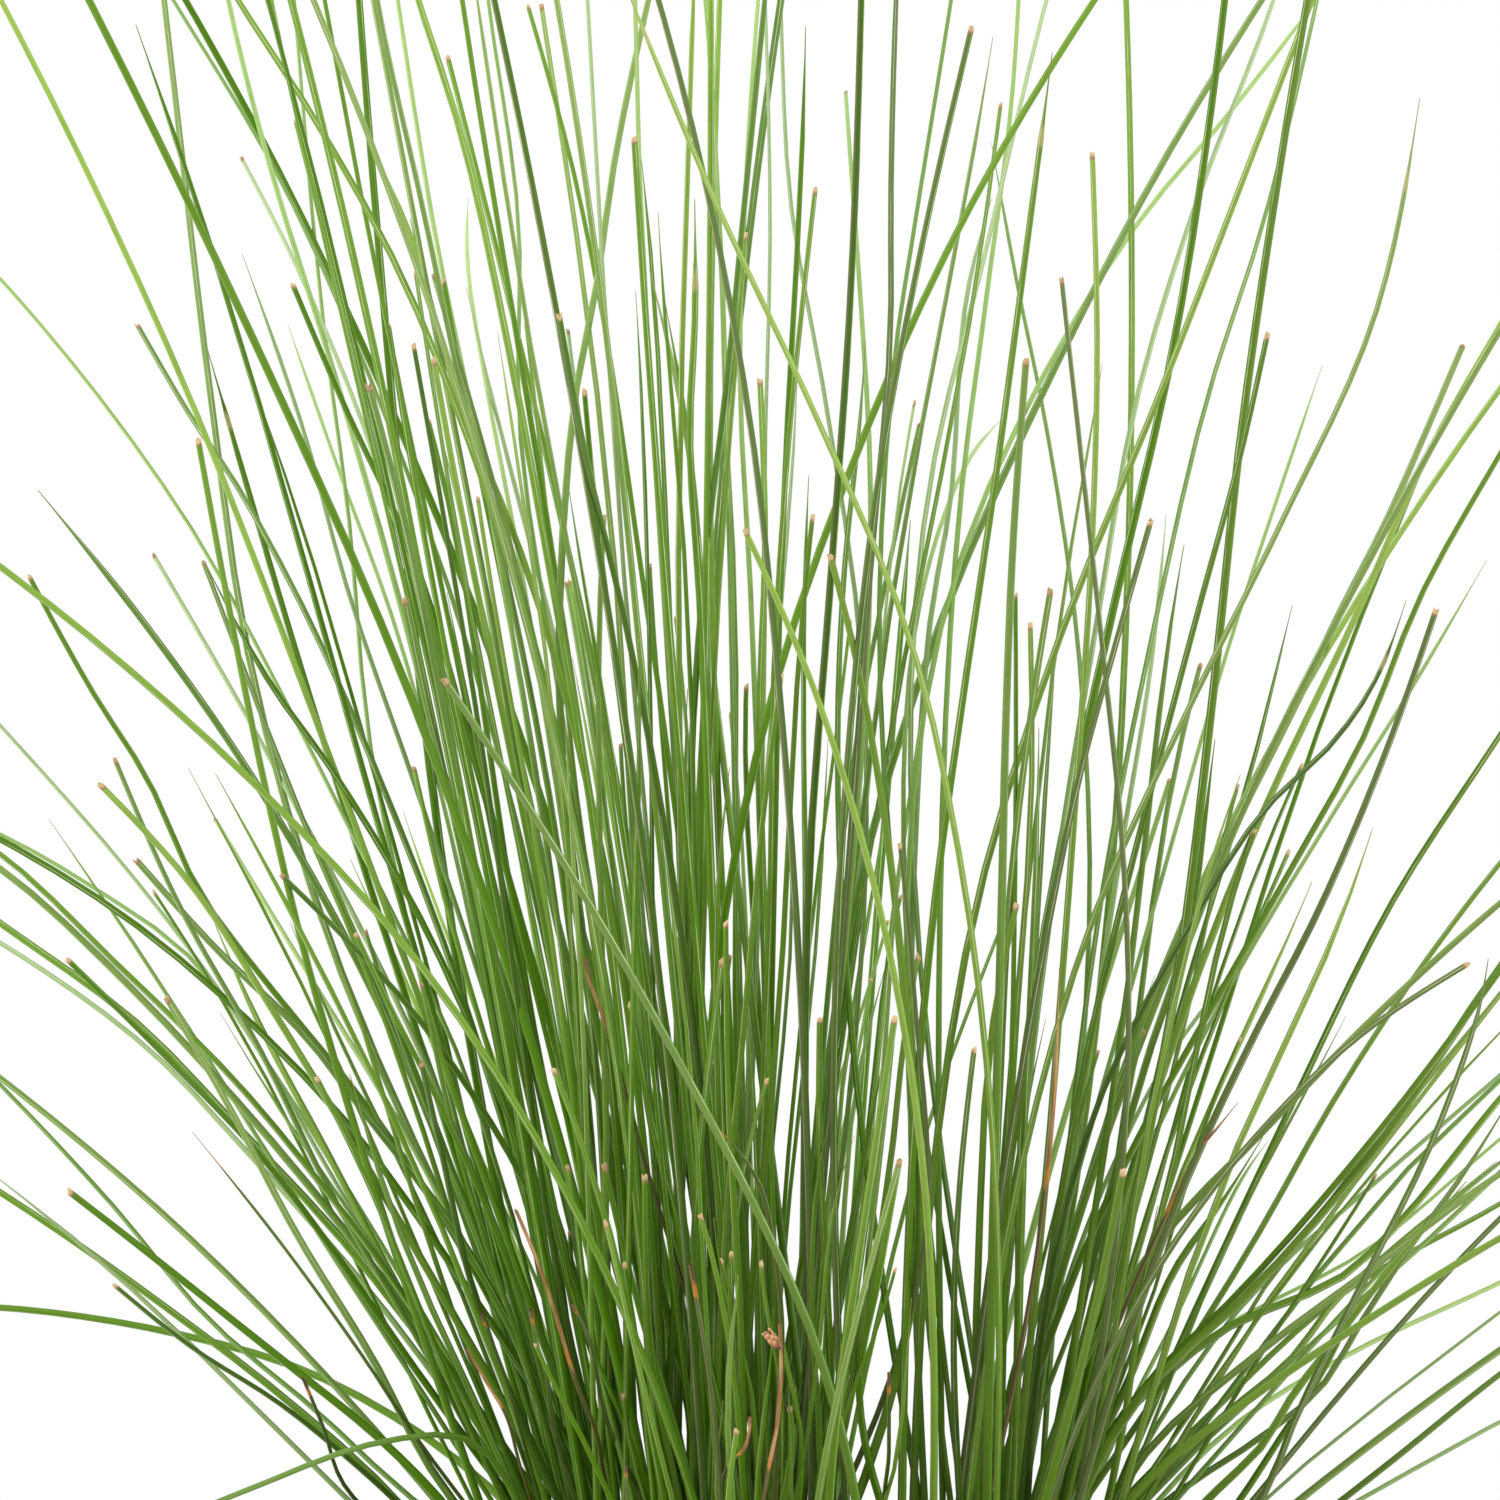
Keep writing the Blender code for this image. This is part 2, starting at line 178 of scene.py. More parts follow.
@dataclass(frozen=True)
class StemFinish:
    """A sedge stem, smooth and waxy over fine lengthwise fibres.

    Attributes:
        name: The material's name.
        low: The painted shade on every stem near its foot, deepest near the tuft's axis.
        deep: The darkest stems.
        mid: Most stems.
        fresh: The youngest stems.
        grey: The bloom on some stems.
        pale: The fibres that show through.
        flush: The side that the sun has turned.
        flush_share: How strongly it has.
        roughness: How matt the wax is.
        withered: How much of the stem below the tip is dead.
        painted_gleam: The painted highlight: two pale lines down each stem, in place of a waxy gleam.
        sheath: The old leaf sheath round its foot.
        cut_end: The dry end of a trimmed stem.
        stain: The brown edge below it.
        straw: The dead part of a dying stem.
        char: Its darkest spots.
        rust: The band where it still dies back.
    """

    name: str
    low: str
    deep: str
    mid: str
    fresh: str
    grey: str
    pale: str
    flush: str
    flush_share: float
    roughness: float
    withered: float = 0.0
    painted_gleam: str = "d4deb4"
    sheath: str = "6e4a2c"
    cut_end: str = "c4aa7e"
    stain: str = "7c6242"
    straw: str = "8c6c4c"
    char: str = "3e2c20"
    rust: str = "b8721c"

    def make(self) -> bpy.types.Material:
        """Builds the material.

        It gives each stem a painted highlight, two pale lines down its sides in place of a waxy gleam,
        over fine dark and pale fibres, no two stems of quite one green, and a dry tan end where one was trimmed.

        Returns:
            The material, which reads the stem's own attributes.
        """
        made = bpy.data.materials.new(self.name)
        made.use_nodes = True
        tree = made.node_tree
        m = Sum(tree)
        shader = tree.nodes["Principled BSDF"]

        def attribute(name: str, output: str = "Fac") -> bpy.types.NodeSocket:
            """The stem's own attribute of that name."""
            wires = {"attribute_name": name, "attribute_type": "GEOMETRY"}
            return add(tree, "ShaderNodeAttribute", **wires).outputs[output]

        def mix(factor, a, b) -> bpy.types.NodeSocket:
            """Mixes two colours, each a hex code or a socket."""
            ends = [linear(c) if isinstance(c, str) else c for c in (a, b)]
            node = add(tree, "ShaderNodeMix", {0: factor, 6: ends[0], 7: ends[1]}, data_type="RGBA")
            return node.outputs[2]

        def vector(operation: str, a, b, output: str = "Vector") -> bpy.types.NodeSocket:
            """A step of vector arithmetic."""
            return add(tree, "ShaderNodeVectorMath", {0: a, 1: b}, operation=operation).outputs[output]

        around = attribute("around", "Vector")
        to_tip, from_root = attribute("to_tip"), attribute("from_root")
        tone, cut, bract = attribute("tone"), attribute("cut"), attribute("bract")
        second = m.do("FRACT", m.do("MULTIPLY", tone, 7.31))

        # Fibres run the length of the stem: the pattern is stretched along it, and each stem's
        # tone shifts it so that no two are alike.
        drift = {0: m.do("MULTIPLY", tone, 37.0), 1: m.do("MULTIPLY", tone, 91.0), 2: m.do("MULTIPLY", from_root, 22.0)}
        place = vector("ADD", vector("MULTIPLY", around, (1.6, 1.6, 1.6)), add(tree, "ShaderNodeCombineXYZ", drift).outputs[0])
        fibres = add(tree, "ShaderNodeTexNoise", {"Vector": place, "Scale": 1.9, "Detail": 4.0, "Roughness": 0.6})
        fibres = fibres.outputs["Fac"]
        blotch_place = vector("MULTIPLY", place, (0.35, 0.35, 9.0))
        blotch = add(tree, "ShaderNodeTexNoise", {"Vector": blotch_place, "Scale": 1.0, "Detail": 2.0}).outputs["Fac"]

        base = mix(m.ramp(tone, 0.1, 0.5), self.deep, self.mid)
        base = mix(m.ramp(tone, 0.55, 0.95), base, self.fresh)
        base = mix(m.do("MULTIPLY", m.ramp(second, 0.55, 0.85), 0.6), base, self.grey)
        # Painted shade: near their feet, and most of all near the tuft's axis, where little light reaches, the stems
        # are darkened towards a deeper green.
        off_axis = vector("MULTIPLY", add(tree, "ShaderNodeTexCoord").outputs["Object"], (1.0, 1.0, 0.0))
        off_axis = vector("LENGTH", off_axis, (0.0, 0.0, 0.0), "Value")
        inner = m.do("MULTIPLY", m.ramp(off_axis, 60 * MM, 25 * MM, 0.35, 1.0), m.ramp(from_root, 190 * MM, 45 * MM, 0.0, 0.92))
        base = mix(inner, base, self.low)
        lines = m.ramp(fibres, 0.5, 0.7)
        base = mix(m.do("MULTIPLY", lines, 0.22), base, self.pale)
        base = mix(m.ramp(blotch, 0.4, 0.7, 0.0, 0.25), base, self.deep)
        sunny = m.ramp(vector("DOT_PRODUCT", around, (0.75, 0.55, 0.0), "Value"), 0.1, 0.7)
        base = mix(m.do("MULTIPLY", sunny, self.flush_share), base, self.flush)
        # Painted highlight: two pale lines down each stem stand in for a waxy gleam; they fade in and out down the stem
        # and are fainter near the foot
        parts = add(tree, "ShaderNodeSeparateXYZ", {0: around}).outputs
        bearing = m.do("DIVIDE", m.do("ARCTAN2", parts[1], parts[0]), math.pi)
        gleam_mask = m.ramp(m.do("PINGPONG", m.do("ADD", bearing, m.do("MULTIPLY", tone, 11.0)), 0.5), 0.45, 0.485)
        gleam_mask = m.do("MULTIPLY", gleam_mask, m.ramp(blotch, 0.35, 0.6, 0.15, 0.7))
        gleam_mask = m.do("MULTIPLY", gleam_mask, m.ramp(from_root, 20 * MM, 110 * MM, 0.35, 1.0))
        base = mix(gleam_mask, base, self.painted_gleam)
        # The old sheath round the foot of each stem
        foot = m.ramp(from_root, 9 * MM, 3 * MM)
        base = mix(m.do("MULTIPLY", foot, 0.8), base, self.sheath)
        # The scale below a pointed tip
        scale = m.do("MULTIPLY", m.ramp(to_tip, 9.4 * MM, 8.6 * MM), m.ramp(to_tip, 6.6 * MM, 7.6 * MM))
        base = mix(m.do("MULTIPLY", m.do("MULTIPLY", scale, bract), 0.5), base, "b8a878")
        # Dry ends: on a cut stem the last half millimetre, on a pointed one the thin point
        ragged = m.do("ADD", to_tip, m.do("MULTIPLY", fibres, 0.4 * MM))
        cut_zone = m.do("MULTIPLY", m.ramp(ragged, 0.9 * MM, 0.6 * MM), cut)
        point_zone = m.do("MULTIPLY", m.ramp(to_tip, 3 * MM, 0.3 * MM, 0.0, 0.4), m.do("SUBTRACT", 1.0, cut))
        dry = m.do("MAXIMUM", cut_zone, point_zone)
        end = mix(m.ramp(ragged, 0.3 * MM, 0.7 * MM, 0.1, 0.9), self.cut_end, self.stain)
        base = mix(dry, base, mix(m.ramp(second, 0.5, 0.9, 0.0, 0.5), end, self.stain))
        if self.withered:
            # A dying stem is straw at the top, stained, with a rusty band where it still lives.
            edge = m.do("ADD", to_tip, m.do("MULTIPLY", blotch, 5 * MM))
            dead = m.ramp(edge, self.withered + 3 * MM, self.withered + 2 * MM)
            band = m.do("MULTIPLY", dead, m.ramp(edge, self.withered, self.withered + 1 * MM))
            husk = mix(m.ramp(blotch, 0.4, 0.6), self.straw, self.stain)
            husk = mix(m.ramp(fibres, 0.55, 0.4, 0.0, 0.6), husk, self.char)
            husk = mix(m.ramp(to_tip, 5 * MM, 2 * MM, 0.0, 0.6), husk, self.char)
            husk = mix(m.do("MULTIPLY", band, 0.7), husk, self.rust)
            base = mix(dead, base, mix(m.do("MULTIPLY", lines, 0.4), husk, self.cut_end))
        tree.links.new(base, shader.inputs["Base Color"])

        rough = m.do("ADD", self.roughness, m.do("MULTIPLY", m.do("MAXIMUM", dry, foot), 0.4))
        tree.links.new(m.do("ADD", rough, m.do("MULTIPLY", lines, 0.08)), shader.inputs["Roughness"])
        shader.inputs["IOR"].default_value = 1.45
        shader.inputs["Specular IOR Level"].default_value = 0.07
        bump = add(tree, "ShaderNodeBump", {"Strength": 0.3, "Distance": 0.05 * MM, "Height": fibres})
        tree.links.new(bump.outputs[0], shader.inputs["Normal"])
        return made


class Finish(Enum):
    """The stems' finishes, by how each kind grew."""

    # Living stems, moist and waxy: deep grass green, with a painted highlight of pale lines down each stem
    GREEN = StemFinish(
        "living_sedge_stem", "487400", "466c10", "6a8e30", "8eac4c", "7a8e5c", "9cb468", "7e7c48", 0.2, 0.24
    )
    # Young stems in the thick of the tuft: thinner and paler, with more bloom
    YOUNG = StemFinish(
        "young_sedge_stem", "507808", "688a42", "88a85c", "a4be74", "98a886", "b8cca0", "8a9a68", 0.1, 0.3
    )
    # Living stems that the sun turned on one side: olive grey, duller, with a green back
    BRONZE = StemFinish(
        "sun_flushed_stem", "365608", "3e5e1a", "4e6e26", "5e7e34", "5a7240", "8aa468", "726a50", 0.38, 0.28
    )
    # Dying stems: grey green below, then a rusty band, and a dark dry top
    DRY = StemFinish(
        "dying_sedge_stem", "385208", "3c5216", "50682a", "627a36", "5a6a44", "9a9c74", "6a5640", 0.4, 0.5, 5 * MM
    )
    # Stems that died long ago: straw, with dark seams and a pale tip
    STRAW = StemFinish(
        "dead_straw_stem", "4a4a18", "4a4a20", "5c5a2c", "6a6438", "6a6048", "b09068", "6a5640", 0.4, 0.6, 24 * MM,
        straw="c09464", stain="8e643e", char="5e3e26", cut_end="d8b484",
    )


# Stems


@dataclass
class Route:
    """One stem's centreline and habits.

    Attributes:
        points: Its centreline, from the crown to the tip.
        radius: Its radius at the foot.
        cut: Whether it was trimmed, so that it ends flat.
        bract: Whether it has a bract and a scale below the tip.
        tone: How pale it is, from 0 to 1.
    """

    points: np.ndarray
    radius: float
    cut: bool
    bract: bool
    tone: float


def smooth(knots: np.ndarray, shares: np.ndarray) -> np.ndarray:
    """Finds points on the smooth curve through the knots.

    Args:
        knots: Places that the curve runs through.
        shares: How far along its length each point is, from 0 to 1.

    Returns:
        One point for each share.
    """
    steps = np.linalg.norm(np.diff(knots, axis=0), axis=1)
    reach = np.concatenate([[0], np.cumsum(steps)])
    slopes = np.diff(knots, axis=0) / steps[:, None]
    inner = (slopes[:-1] * steps[1:, None] + slopes[1:] * steps[:-1, None]) / (steps[1:] + steps[:-1])[:, None]
    first = 1.5 * slopes[:1] - 0.5 * (inner[:1] if len(inner) else slopes[:1])
    last = 1.5 * slopes[-1:] - 0.5 * (inner[-1:] if len(inner) else slopes[-1:])
    tangents = np.concatenate([first, inner, last])
    along = shares * reach[-1]
    i = np.clip(np.searchsorted(reach, along, side="right") - 1, 0, len(steps) - 1)
    span = steps[i][:, None]
    t = ((along - reach[i]) / steps[i])[:, None]
    return (
        knots[i] * (2 * t**3 - 3 * t**2 + 1)
        + tangents[i] * span * (t**3 - 2 * t**2 + t)
        + knots[i + 1] * (3 * t**2 - 2 * t**3)
        + tangents[i + 1] * span * (t**3 - t**2)
    )


def stem_rings(node: bpy.types.Object, crown: Vector) -> list[np.ndarray]:
    """Splits a packed stem's vertices into its rings.

    Args:
        node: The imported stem.
        crown: The middle of the crown, to tell its foot from its tip.

    Returns:
        The vertices of each ring, from the foot to the tip.
    """
    places = np.array([v.co for v in node.data.vertices])
    places = np.unique(np.round(places, 6), axis=0)
    away = np.linalg.norm(places - np.array(crown), axis=1)
    foot, tip = places[away.argmin()], places[away.argmax()]
    chord = (tip - foot) / np.linalg.norm(tip - foot)
    along = (places - foot) @ chord
    order = along.argsort()
    breaks = np.where(np.diff(along[order]) > 1.6 * MM)[0] + 1
    return np.split(places[order], breaks)


# The skin that every stem gets


def group(name: str, inputs: dict[str, str]) -> tuple[bpy.types.NodeTree, bpy.types.Node, bpy.types.Node]:
    """Starts a Geometry Nodes tree.

    Args:
        name: The tree's name.
        inputs: Each input's name and socket type, past the geometry.

    Returns:
        The tree, its input node and its output node.
    """
    tree = bpy.data.node_groups.new(name, "GeometryNodeTree")
    tree.interface.new_socket("Geometry", in_out="INPUT", socket_type="NodeSocketGeometry")
    for label, kind in inputs.items():
        tree.interface.new_socket(label, in_out="INPUT", socket_type=kind)
    tree.interface.new_socket("Geometry", in_out="OUTPUT", socket_type="NodeSocketGeometry")
    return tree, tree.nodes.new("NodeGroupInput"), tree.nodes.new("NodeGroupOutput")


def named(tree: bpy.types.NodeTree, name: str, kind: str = "FLOAT") -> bpy.types.NodeSocket:
    """Reads a named attribute in a Geometry Nodes tree."""
    return add(tree, "GeometryNodeInputNamedAttribute", {"Name": name}, data_type=kind).outputs[0]


def store(tree, geometry, name: str, value, domain: str = "POINT", kind: str = "FLOAT"):
    """Stores a named attribute in a Geometry Nodes tree, and gives the geometry back."""
    wires = {"Geometry": geometry, "Name": name, "Value": value}
    made = add(tree, "GeometryNodeStoreNamedAttribute", wires, data_type=kind, domain=domain)
    return made.outputs[0]


def skin_group() -> bpy.types.NodeTree:
    """Builds the tree that gives stem centrelines their round, faintly ribbed skin.

    It reads along, to_tip, thick, cut and bract from the centrelines' points.

    Returns:
        The tree, with the inputs Sides, Rib, Rag, Seed and Material.
    """
    tree, given, out = group(
        "stem_skin",
        {
            "Sides": "NodeSocketInt",
            "Rib": "NodeSocketFloat",
            "Rag": "NodeSocketFloat",
            "Seed": "NodeSocketInt",
            "Material": "NodeSocketMaterial",
        },
    )
    m = Sum(tree)
    along, to_tip, thick = named(tree, "along"), named(tree, "to_tip"), named(tree, "thick")
    cut, bract = named(tree, "cut"), named(tree, "bract")
    body = m.do("SUBTRACT", 1.0, m.do("MULTIPLY", along, 0.38))
    pointed = m.ramp(to_tip, 0.0, 14 * MM, 0.16, 1.0)
    ends = m.do("MAXIMUM", pointed, m.ramp(cut, 0.4, 0.6))
    off_scale = m.do("DIVIDE", m.do("SUBTRACT", to_tip, 8 * MM), 0.9 * MM)
    swell = m.do("EXPONENT", m.do("MULTIPLY", m.do("MULTIPLY", off_scale, off_scale), -1.0))
    swell = m.do("ADD", 1.0, m.do("MULTIPLY", m.do("MULTIPLY", swell, bract), 0.55))
    radius = m.do("MULTIPLY", m.do("MULTIPLY", body, ends), m.do("MULTIPLY", swell, thick))

    circle = add(tree, "GeometryNodeCurvePrimitiveCircle", {"Resolution": given.outputs["Sides"], "Radius": 1.0})
    turn = m.do("MULTIPLY", add(tree, "GeometryNodeSplineParameter").outputs["Factor"], math.tau)
    rim = add(tree, "ShaderNodeCombineXYZ", {0: m.do("COSINE", turn), 1: m.do("SINE", turn), 2: 0.0}).outputs[0]
    profile = store(tree, circle.outputs[0], "around", rim, kind="FLOAT_VECTOR")
    index = add(tree, "GeometryNodeInputIndex").outputs[0]
    odd = m.do("MODULO", index, 2.0)
    scale = m.do("SUBTRACT", 1.0, m.do("MULTIPLY", odd, given.outputs["Rib"]))
    ribbed = add(tree, "ShaderNodeVectorMath", {0: named(tree, "around", "FLOAT_VECTOR"), "Scale": scale}, operation="SCALE")
    profile = add(tree, "GeometryNodeSetPosition", {"Geometry": profile, "Position": ribbed.outputs[0]}).outputs[0]

    wires = {"Curve": given.outputs["Geometry"], "Profile Curve": profile, "Scale": radius, "Fill Caps": True}
    tube = add(tree, "GeometryNodeCurveToMesh", wires).outputs[0]
    # A trimmed stem ends in ragged fibres, so the rim of its end is uneven.
    at_end = add(tree, "FunctionNodeCompare", {"A": to_tip, "B": 0.02 * MM}, operation="LESS_THAN").outputs[0]
    ragged = add(
        tree,
        "FunctionNodeRandomValue",
        {"Min": m.do("MULTIPLY", given.outputs["Rag"], -1.0), "Max": given.outputs["Rag"], "Seed": given.outputs["Seed"]},
    ).outputs[1]
    away = m.do("MULTIPLY", ragged, m.ramp(cut, 0.4, 0.6))
    upward = add(tree, "ShaderNodeVectorMath", {0: named(tree, "heading", "FLOAT_VECTOR"), "Scale": away}, operation="SCALE")
    tube = add(
        tree, "GeometryNodeSetPosition", {"Geometry": tube, "Selection": at_end, "Offset": upward.outputs[0]}
    ).outputs[0]
    tube = add(tree, "GeometryNodeSetShadeSmooth", {"Geometry": tube, "Shade Smooth": True}).outputs[0]
    corners = add(tree, "GeometryNodeInputMeshFaceNeighbors").outputs["Vertex Count"]
    is_cap = m.do("GREATER_THAN", corners, 4.5)
    wires = {"Geometry": tube, "Selection": is_cap, "Shade Smooth": False}
    tube = add(tree, "GeometryNodeSetShadeSmooth", wires).outputs[0]
    solid = add(tree, "GeometryNodeRealizeInstances", {"Geometry": tube}).outputs[0]
    last = add(tree, "GeometryNodeSetMaterial", {"Geometry": solid, "Material": given.outputs["Material"]})
    tree.links.new(last.outputs[0], out.inputs[0])
    return tree


def lead_tree(skin: bpy.types.NodeTree) -> bpy.types.NodeTree:
    """Builds the tree that skins centrelines which come as a mesh of edges.

    Args:
        skin: The tree that gives stems their skin.

    Returns:
        The tree, with the skin's inputs.
    """
    tree, given, out = group(
        "lead_stems",
        {
            "Sides": "NodeSocketInt",
            "Rib": "NodeSocketFloat",
            "Rag": "NodeSocketFloat",
            "Seed": "NodeSocketInt",
            "Material": "NodeSocketMaterial",
        },
    )
    lines = add(tree, "GeometryNodeMeshToCurve", {"Mesh": given.outputs["Geometry"]}).outputs[0]
    dressed = add(tree, "GeometryNodeGroup", node_tree=skin)
    tree.links.new(lines, dressed.inputs["Geometry"])
    for name in ("Sides", "Rib", "Rag", "Seed", "Material"):
        tree.links.new(given.outputs[name], dressed.inputs[name])
    tree.links.new(dressed.outputs[0], out.inputs[0])
    return tree


def clump_tree(skin: bpy.types.NodeTree) -> bpy.types.NodeTree:
    """Builds the tree that grows a clump of fine stems from the crown.

    Each stem starts at a random place in the clump's patch of the crown, leans away from
    the patch's middle, and bends outward by its droop.

    Args:
        skin: The tree that gives stems their skin.

    Returns:
        The tree, with a named input for each size.
    """
    tree, given, out = group(
        "fine_stem_clump",
        {
            "Count": "NodeSocketInt",
            "Seed": "NodeSocketInt",
            "Patch Centre": "NodeSocketVector",
            "Patch Radius": "NodeSocketFloat",
            "Lean": "NodeSocketVector",
            "Outward": "NodeSocketFloat",
            "Scatter": "NodeSocketFloat",
            "Shortest": "NodeSocketFloat",
            "Longest": "NodeSocketFloat",
            "Droop": "NodeSocketFloat",
            "Thickness": "NodeSocketFloat",
            "Cut Share": "NodeSocketFloat",
            "Rings": "NodeSocketInt",
            "Material": "NodeSocketMaterial",
        },
    )
    m = Sum(tree)
    dice = iter(range(1, 40))

    def random(low, high) -> bpy.types.NodeSocket:
        """A random number for each stem."""
        seed = m.do("ADD", m.do("MULTIPLY", given.outputs["Seed"], 50.0), float(next(dice)))
        return add(tree, "FunctionNodeRandomValue", {"Min": low, "Max": high, "Seed": seed}).outputs[1]

    def combine(x, y, z) -> bpy.types.NodeSocket:
        """A vector of three numbers."""
        return add(tree, "ShaderNodeCombineXYZ", {0: x, 1: y, 2: z}).outputs[0]

    def vector(operation: str, *values, scale=None) -> bpy.types.NodeSocket:
        """A step of vector arithmetic."""
        wires = dict(enumerate(values))
        if scale is not None:
            wires["Scale"] = scale
        made = add(tree, "ShaderNodeVectorMath", wires, operation=operation)
        return made.outputs["Value" if operation in ("LENGTH", "DOT_PRODUCT") else "Vector"]

    points = add(tree, "GeometryNodePoints", {"Count": given.outputs["Count"]}).outputs[0]
    reach = m.do("SQRT", random(0.0, 1.0))
    bearing = random(0.0, math.tau)
    spot = combine(m.do("MULTIPLY", reach, m.do("COSINE", bearing)), m.do("MULTIPLY", reach, m.do("SINE", bearing)), 0.0)
    root = vector("ADD", given.outputs["Patch Centre"], vector("SCALE", spot, scale=given.outputs["Patch Radius"]))
    share = m.do("DIVIDE", vector("LENGTH", root), PLANTING.crown_radius)
    dome = m.do("SUBTRACT", 1.0, m.do("MULTIPLY", share, share))
    sunk = PLANTING.soil_top - 0.6 * MM
    root = vector("ADD", root, combine(0.0, 0.0, m.do("ADD", sunk, m.do("MULTIPLY", dome, PLANTING.crown_rise))))
    stray_reach, stray_bearing = m.do("SQRT", random(0.0, 1.0)), random(0.0, math.tau)
    stray_reach = m.do("MULTIPLY", stray_reach, given.outputs["Scatter"])
    stray = combine(
        m.do("MULTIPLY", stray_reach, m.do("COSINE", stray_bearing)),
        m.do("MULTIPLY", stray_reach, m.do("SINE", stray_bearing)),
        0.0,
    )
    lean = vector("ADD", vector("SCALE", spot, scale=given.outputs["Outward"]), vector("ADD", given.outputs["Lean"], stray))
    too_low = m.do("MAXIMUM", 1.0, m.do("DIVIDE", vector("LENGTH", lean), 0.8))
    lean = vector("SCALE", lean, scale=m.do("DIVIDE", 1.0, too_low))
    length = random(given.outputs["Shortest"], given.outputs["Longest"])
    # Stems that lean far are a little shorter, as on a real tuft.
    length = m.do("MULTIPLY", length, m.do("SUBTRACT", 1.06, m.do("MULTIPLY", vector("LENGTH", lean), 0.25)))
    thick = m.do("MULTIPLY", given.outputs["Thickness"], random(0.72, 1.15))
    cut = add(tree, "FunctionNodeCompare", {"A": random(0.0, 1.0), "B": given.outputs["Cut Share"]}, operation="LESS_THAN")
    for name, value, kind in (
        ("root", root, "FLOAT_VECTOR"),
        ("lean", lean, "FLOAT_VECTOR"),
        ("length", length, "FLOAT"),
        ("thick", thick, "FLOAT"),
        ("tone", random(0.0, 1.0), "FLOAT"),
        ("bend", random(0.4, 1.4), "FLOAT"),
        ("cut", cut.outputs[0], "FLOAT"),
        ("bract", 0.0, "FLOAT"),
    ):
        points = store(tree, points, name, value, kind=kind)

    line = add(tree, "GeometryNodeCurvePrimitiveLine", {"Start": (0, 0, 0), "End": (0, 0, 1)}).outputs[0]
    line = add(tree, "GeometryNodeResampleCurve", {"Curve": line, "Count": given.outputs["Rings"]}).outputs[0]
    lines = add(tree, "GeometryNodeInstanceOnPoints", {"Points": points, "Instance": line}).outputs[0]
    lines = add(tree, "GeometryNodeRealizeInstances", {"Geometry": lines}).outputs[0]

    # The rings are closer together near the tip, where the stem narrows.
    even = add(tree, "GeometryNodeSplineParameter").outputs["Factor"]
    t = m.do("SUBTRACT", 1.0, m.do("POWER", m.do("SUBTRACT", 1.0, even), 1.8))
    lines = store(tree, lines, "along", t)
    t, length, lean = named(tree, "along"), named(tree, "length"), named(tree, "lean", "FLOAT_VECTOR")
    lines = store(tree, lines, "to_tip", m.do("MULTIPLY", length, m.do("SUBTRACT", 1.0, t)))
    lines = store(tree, lines, "from_root", m.do("MULTIPLY", length, t))
    steep = vector("LENGTH", lean)
    rise = m.do("SQRT", m.do("MAXIMUM", 0.1, m.do("SUBTRACT", 1.0, m.do("MULTIPLY", steep, steep))))
    heading = vector("ADD", lean, combine(0.0, 0.0, rise))
    droop = m.do("MULTIPLY", given.outputs["Droop"], m.do("MULTIPLY", named(tree, "bend"), m.do("MULTIPLY", t, t)))
    sideways = vector("SCALE", lean, scale=droop)
    sag = combine(0.0, 0.0, m.do("MULTIPLY", m.do("MULTIPLY", steep, droop), -0.45))
    path = vector("ADD", vector("SCALE", heading, scale=t), vector("ADD", sideways, sag))
    path = vector("ADD", named(tree, "root", "FLOAT_VECTOR"), vector("SCALE", path, scale=length))
    noise_place = vector("ADD", vector("SCALE", named(tree, "root", "FLOAT_VECTOR"), scale=900.0), combine(0.0, 0.0, m.do("MULTIPLY", t, 1.7)))
    noise = add(tree, "ShaderNodeTexNoise", {"Vector": noise_place, "Scale": 1.0, "Detail": 0.0}).outputs["Color"]
    waver = vector("SCALE", vector("SUBTRACT", noise, (0.5, 0.5, 0.5)), scale=m.do("MULTIPLY", t, 9 * MM))
    lines = add(tree, "GeometryNodeSetPosition", {"Geometry": lines, "Position": vector("ADD", path, waver)}).outputs[0]
    lines = store(tree, lines, "heading", heading, kind="FLOAT_VECTOR")
    dressed = add(tree, "GeometryNodeGroup", node_tree=skin)
    for name, value in (("Sides", 6), ("Rib", 0.0), ("Rag", 0.25 * MM)):
        dressed.inputs[name].default_value = value
    tree.links.new(lines, dressed.inputs["Geometry"])
    tree.links.new(given.outputs["Seed"], dressed.inputs["Seed"])
    tree.links.new(given.outputs["Material"], dressed.inputs["Material"])
    tree.links.new(dressed.outputs[0], out.inputs[0])
    return tree


KEPT_ATTRIBUTES = ("around", "along", "to_tip", "from_root", "tone", "cut", "bract")


def grown(name: str, start: bpy.types.Mesh, passes: list[tuple[bpy.types.NodeTree, dict]]) -> bpy.types.Object:
    """Runs Geometry Nodes trees one after another and keeps the result as a plain mesh.

    Args:
        name: The piece's name.
        start: The mesh that the first tree is given.
        passes: Each tree, with a value for each of its named inputs.

    Returns:
        The piece, with no modifier left on it.
    """
    seed = bpy.data.objects.new(name + "_seed", start)
    bpy.context.scene.collection.objects.link(seed)
    for tree, inputs in passes:
        modifier = seed.modifiers.new("grow", "NODES")
        modifier.node_group = tree
        for item in tree.interface.items_tree:
            if item.in_out == "INPUT" and item.name in inputs:
                modifier[item.identifier] = inputs[item.name]
    graph = bpy.context.evaluated_depsgraph_get()
    mesh = bpy.data.meshes.new_from_object(seed.evaluated_get(graph), preserve_all_data_layers=True, depsgraph=graph)
    bpy.data.objects.remove(seed)
    for attribute in [a.name for a in mesh.attributes if not a.is_internal and not a.is_required]:
        if attribute not in (*KEPT_ATTRIBUTES, "sharp_face", "material_index"):
            mesh.attributes.remove(mesh.attributes[attribute])
    mesh.name = name
    piece = bpy.data.objects.new(name, mesh)
    bpy.context.scene.collection.objects.link(piece)
    return piece


